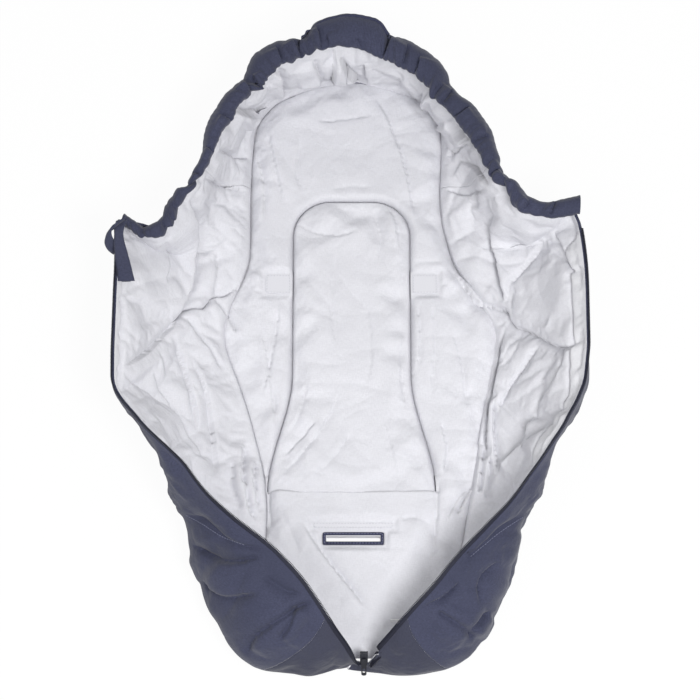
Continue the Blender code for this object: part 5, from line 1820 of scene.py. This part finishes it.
class FOOTMUFF_OT_tab(bpy.types.Operator):
    """Make the closing tab, its loop at the corner and its hook and loop patches"""

    bl_idname = "footmuff.tab"
    bl_label = "Closing tab"

    def execute(self, context):
        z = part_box("collar_tab")[1][2] + MM
        cloth, pile = [material("melange_polyester")], [material("hook_tape")]
        middle = on_level(TAB_LINE, [z + rise for rise in TAB_RISE])
        line = smooth_line(np.vstack([TAB_ROOT, middle]), 40)
        width = np.interp(np.linspace(0, 1, 40), [0, 0.3, 1], [0.0135, 0.0105, size("tab_width")])
        strap = ribbon("closing_tab", line, np.tile([1.0, 0, 0.05], (40, 1)), width, 0.0026, cloth)
        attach(strap, "tab")
        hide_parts("collar_tab")
        loop = on_level(LOOP_LINE, [z + rise for rise in LOOP_RISE])
        loop[0] = TAB_ROOT + np.array([0.001, -0.001, 0.002])
        across = np.tile([0.55, 0.45, 0.7], (50, 1))
        across /= np.linalg.norm(across[0])
        bow = ribbon("tab_loop", smooth_line(loop, 50), across, size("loop_width"), 0.0024, cloth)
        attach(bow, "left_front")
        line = smooth_line(middle[2:] - np.array([0, 0, 0.0022]), 20)
        across = np.tile([1.0, 0, 0.05], (20, 1))
        hook = ribbon("closing_tab_hook", line, across, size("hook_width"), 0.0012, pile)
        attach(hook, "tab")
        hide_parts("collar_tab_hook")
        line = smooth_line(on_level(PATCH_LINE, PATCH_Z), 20)
        across = np.tile([0, 0.8, 0.6], (20, 1))
        patch = ribbon("collar_loop_patch", line, across, size("hook_width"), 0.0012, pile)
        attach(patch, "right_front")
        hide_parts("right_collar_loop_patch")
        return {"FINISHED"}


# Finishes of the trims that keep the shapes of their nodes
TRIMS = {
    "crotch_slot_binding": "woven_binding", "crotch_slot_facing": "cotton_facing",
    "crotch_slot_stay": "brushed_cotton_lining", "left_back_patch": "brushed_cotton_lining",
    "right_back_patch": "brushed_cotton_lining", "care_label": "satin_label",
}


class FOOTMUFF_OT_trims(bpy.types.Operator):
    """Make the slot's binding and facing, the stay band, patches and the blank label"""

    bl_idname = "footmuff.trims"
    bl_label = "Slot, patches and label"

    def execute(self, context):
        for name, kind in TRIMS.items():
            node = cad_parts[name]
            node.data.materials.clear()
            node.data.materials.append(material(kind))
        lo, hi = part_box("crotch_slot_binding")
        x0, y0, x1, y1 = lo[0] + 0.0019, lo[1] + 0.0019, hi[0] - 0.0019, hi[1] - 0.0019
        turn = 0.001
        loop = np.array([
            (x0 + turn, y0), (x1 - turn, y0), (x1, y0 + turn), (x1, y1 - turn), (x1 - turn, y1),
            (x0 + turn, y1), (x0, y1 - turn), (x0, y0 + turn), (x0 + turn, y0), (x0 + 4 * turn, y0),
        ])
        line = np.column_stack([loop, np.full(len(loop), hi[2] + 0.0004)])
        across = np.cross(unit(np.gradient(line, axis=0)), [0, 0, 1.0])
        tape = ribbon("crotch_slot_tape", line, across, size("slot_tape"), 0.0012,
                      [material("woven_binding")], rows=5)
        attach(tape, "bag")
        return {"FINISHED"}


def seen_directly(tree):
    """Whether the camera sees a place itself, in a mirror or through glass, and not by its light."""
    path = add(tree, "ShaderNodeLightPath")
    seen = add(tree, "ShaderNodeMath", [(0, path, "Is Camera Ray"), (1, path, "Is Glossy Ray")],
               operation="MAXIMUM")
    return add(tree, "ShaderNodeMath", [(0, seen, "Value"), (1, path, "Is Transmission Ray")],
               operation="MAXIMUM")


# Lamps: name, place, size across and the setting that holds the power.
LAMPS = (
    ("key", (0.6, -1.1, 2.3), 0.8, "key_light"),
    ("fill", (-1.0, -1.2, 2.0), 1.4, "fill_light"),
)
LIT_PLACE = Vector((0, 0, 0.05))
FLOOR_SIZE = 30
FLOOR_Z = -0.0003


class FOOTMUFF_OT_stage(bpy.types.Operator):
    """Make the floor, the soft lights and the camera"""

    bl_idname = "footmuff.stage"
    bl_label = "Floor, light and camera"

    def execute(self, context):
        settings = context.scene.footmuff_stage
        self.floor(settings)
        self.world(context.scene, settings)
        for name, place, across, power in LAMPS:
            lamp = bpy.data.lights.new(name, "AREA")
            lamp.shape = "DISK"
            lamp.size = across
            lamp.energy = getattr(settings, power)
            obj = bpy.data.objects.new(name, lamp)
            obj.location = place
            obj.rotation_euler = (LIT_PLACE - Vector(place)).to_track_quat("-Z", "Y").to_euler()
            context.scene.collection.objects.link(obj)
        self.camera(context.scene)
        context.scene.view_settings.view_transform = "Standard"
        return {"FINISHED"}

    def floor(self, settings):
        """Pale paper floor, which keeps the shadow and is otherwise nearly plain white."""
        select_only()
        bpy.ops.mesh.primitive_plane_add(size=FLOOR_SIZE, location=(0, 0, FLOOR_Z))
        floor = bpy.context.object
        floor.name = "floor"
        paper = bpy.data.materials.new("paper_floor")
        paper.use_nodes = True
        tree = paper.node_tree
        shader = tree.nodes["Principled BSDF"]
        shader.inputs["Base Color"].default_value = linear(settings.floor_colour)
        shader.inputs["Roughness"].default_value = 0.9
        white = add(tree, "ShaderNodeEmission", Color=(1, 1, 1, 1), Strength=1.0)
        part = add(tree, "ShaderNodeMath", [(0, seen_directly(tree), "Value")], operation="MULTIPLY",
                   in1=settings.floor_white)
        mix = add(tree, "ShaderNodeMixShader",
                  [(0, part, "Value"), (1, shader, "BSDF"), (2, white, "Emission")])
        tree.links.new(mix.outputs["Shader"], tree.nodes["Material Output"].inputs["Surface"])
        floor.data.materials.append(paper)

    def world(self, scene, settings):
        """Even light from all round, white where it is seen."""
        world = bpy.data.worlds.new("studio")
        scene.world = world
        world.use_nodes = True
        tree = world.node_tree
        back = tree.nodes["Background"]
        back.inputs["Color"].default_value = (1, 1, 1, 1)
        strength = add(tree, "ShaderNodeMapRange", [("Value", seen_directly(tree), "Value")],
                       To_Min=settings.world_light, To_Max=1.0)
        tree.links.new(strength.outputs["Result"], back.inputs["Strength"])

    def camera(self, scene):
        """Camera at the photograph's angle."""
        lens = bpy.data.cameras.new("view")
        lens.sensor_width = 36
        lens.lens = lens.sensor_width * VIEW_DISTANCE / (VIEW_SCALE * 2 * VIEW_MIDDLE)
        camera = bpy.data.objects.new("view", lens)
        lean = math.radians(VIEW_ELEVATION)
        camera.location = VIEW_AIM - VIEW_DISTANCE * Vector((0, math.cos(lean), -math.sin(lean)))
        camera.rotation_euler = (math.radians(90 - VIEW_ELEVATION), 0, 0)
        scene.collection.objects.link(camera)
        scene.camera = camera


# Settings and panel


def hex_colour(name, default):
    """A colour in the settings."""
    return bpy.props.StringProperty(name=name, description="sRGB hex colour", default=default)


def length_of(name, description, default):
    """A length in the settings."""
    return bpy.props.FloatProperty(name=name, description=description, default=default, unit="LENGTH", min=0,
                                   precision=5)


def strength_of(name, description, default):
    """A strength or share in the settings."""
    return bpy.props.FloatProperty(name=name, description=description, default=default, min=0, precision=3)


class FootmuffSizes(bpy.types.PropertyGroup):
    """Sizes of the cloth pieces, beside those that the frame gives"""

    edge_depth: length_of("Wall at the zip", "Thickness of the wall where its zip is sewn on", 0.0026)
    wall_swell: length_of("Wall's swell", "How much thicker the wall is in its middle", 0.006)
    facing_left: length_of("Left facing", "Width of the facing seen beside the left zip", 0.015)
    facing_right: length_of("Right facing", "Width of the facing seen beside the right zip", 0.028)
    lining_folds: strength_of("Lining's folds", "Strength of the lining's main folds", 1.35)
    lining_crumple: strength_of("Lining's crumples", "Strength of the lining's soft crumples", 1.2)
    shell_folds: strength_of("Shell's folds", "Strength of the outer cloth's main folds", 2.0)
    shell_crumple: strength_of("Shell's crumples", "Strength of the outer cloth's soft crumples", 0.9)
    wall_slack: strength_of("Wall's slack", "Spare width of the wall's lining, as a share", 0.042)
    pad_slack: strength_of("Back's slack", "Spare width of the back's and flap's cloth, as a share", 0.022)
    lip_width: length_of("Opening's lip", "Width of the lip round the harness flap's opening", 0.009)
    zip_pitch: length_of("Zip's pitch", "Distance from one coil loop to the next", 0.0017)
    tab_width: length_of("Closing tab", "Width of the closing tab at its free end", 0.0205)
    loop_width: length_of("Tab's loop", "Width of the loop at the tab's root", 0.016)
    hook_width: length_of("Hook tape", "Width of the hook and the loop patches", 0.0105)
    slot_tape: length_of("Slot's tape", "Width of the tape round the crotch slot", 0.0037)
    stitch_pitch: length_of("Stitch pitch", "Distance from one stitch to the next", 0.0036)
    stitch_length: length_of("Stitch length", "Length of the thread seen in one stitch", 0.0026)
    thread_radius: length_of("Thread", "Half the thickness of the sewing thread", 0.00038)
    pocket_width: length_of("Pocket's width", "Flat width of the pocket behind the hood", 0.175)
    pocket_height: length_of("Pocket's height", "Flat height of the pocket behind the hood", 0.124)


class FootmuffColours(bpy.types.PropertyGroup):
    """Colours of the cloths, threads and metal"""

    shell_dark: hex_colour("Shell, dark thread", "2A2D3F")
    shell_light: hex_colour("Shell, light thread", "43465E")
    # The sole's colours are darker than the shell's, as painted shade on the foot end.
    sole_dark: hex_colour("Sole, dark thread", "2A2C3A")
    sole_light: hex_colour("Sole, light thread", "3E4052")
    lining_dark: hex_colour("Lining, dark thread", "CCCCD1")
    lining_light: hex_colour("Lining, light thread", "DCDCE1")
    # The facing's colours are a little brighter than the lining's, partly its own paler cotton and partly
    # painted light for the strip that faces up.
    facing_dark: hex_colour("Facing, dark thread", "D6D6DA")
    facing_light: hex_colour("Facing, light thread", "E4E4E7")
    trim_dark: hex_colour("Trim, dark thread", "26283A")
    trim_light: hex_colour("Trim, light thread", "3F425E")
    zip_dark: hex_colour("Zip tape, dark thread", "161722")
    zip_light: hex_colour("Zip tape, light thread", "262838")
    label_dark: hex_colour("Label, dark thread", "F0F0EE")
    label_light: hex_colour("Label, light thread", "FAFAF8")
    navy_thread_dark: hex_colour("Navy sewing thread, dark side", "5A5D76")
    navy_thread_light: hex_colour("Navy sewing thread, light side", "8A8CA2")
    pale_thread_dark: hex_colour("Pale sewing thread, dark side", "B4B4BC")
    pale_thread_light: hex_colour("Pale sewing thread, light side", "D2D2D8")
    coil_dark: hex_colour("Zip coil, dark grain", "14151F")
    coil_light: hex_colour("Zip coil, light grain", "272938")
    zinc_dark: hex_colour("Slider's enamel", "0E0F14")
    zinc_light: hex_colour("Slider's worn edges", "282930")


class FootmuffStage(bpy.types.PropertyGroup):
    """Light and floor"""

    key_light: bpy.props.FloatProperty(
        name="Key light", description="Power of the key lamp", default=48, unit="POWER",
    )
    fill_light: bpy.props.FloatProperty(
        name="Fill light", description="Power of the fill lamp", default=13, unit="POWER",
    )
    world_light: bpy.props.FloatProperty(
        name="World light", description="Strength of the even light", default=0.44,
    )
    floor_white: bpy.props.FloatProperty(
        name="Floor white", description="Share of plain white on the floor", default=0.95, subtype="FACTOR",
        min=0, max=1,
    )
    floor_colour: hex_colour("Floor", "F4F4F4")


STEPS = ("sides", "ends", "back", "collar", "pocket", "zip", "tab", "trims", "stitching", "stage")


class FOOTMUFF_PT_panel(bpy.types.Panel):
    """Lists the steps of making the footmuff"""

    bl_label = "Car seat footmuff"
    bl_idname = "FOOTMUFF_PT_panel"
    bl_space_type = "VIEW_3D"
    bl_region_type = "UI"
    bl_category = "Footmuff"

    def draw(self, context):
        scene = context.scene
        for group in (scene.footmuff_sizes, scene.footmuff_colours, scene.footmuff_stage):
            for name in group.__annotations__:
                self.layout.prop(group, name)
        for step in STEPS:
            self.layout.operator(f"footmuff.{step}")


CLASSES = (
    FootmuffSizes, FootmuffColours, FootmuffStage, FOOTMUFF_OT_sides, FOOTMUFF_OT_ends, FOOTMUFF_OT_back,
    FOOTMUFF_OT_collar, FOOTMUFF_OT_pocket, FOOTMUFF_OT_zip, FOOTMUFF_OT_tab, FOOTMUFF_OT_trims,
    FOOTMUFF_OT_stitching, FOOTMUFF_OT_stage, FOOTMUFF_PT_panel,
)


def register():
    for item in CLASSES:
        bpy.utils.register_class(item)
    bpy.types.Scene.footmuff_sizes = bpy.props.PointerProperty(type=FootmuffSizes)
    bpy.types.Scene.footmuff_colours = bpy.props.PointerProperty(type=FootmuffColours)
    bpy.types.Scene.footmuff_stage = bpy.props.PointerProperty(type=FootmuffStage)


def unregister():
    del bpy.types.Scene.footmuff_stage
    del bpy.types.Scene.footmuff_colours
    del bpy.types.Scene.footmuff_sizes
    for item in reversed(CLASSES):
        bpy.utils.unregister_class(item)


def main():
    register()
    for step in STEPS:
        getattr(bpy.ops.footmuff, step)()


if __name__ == "__main__":
    main()
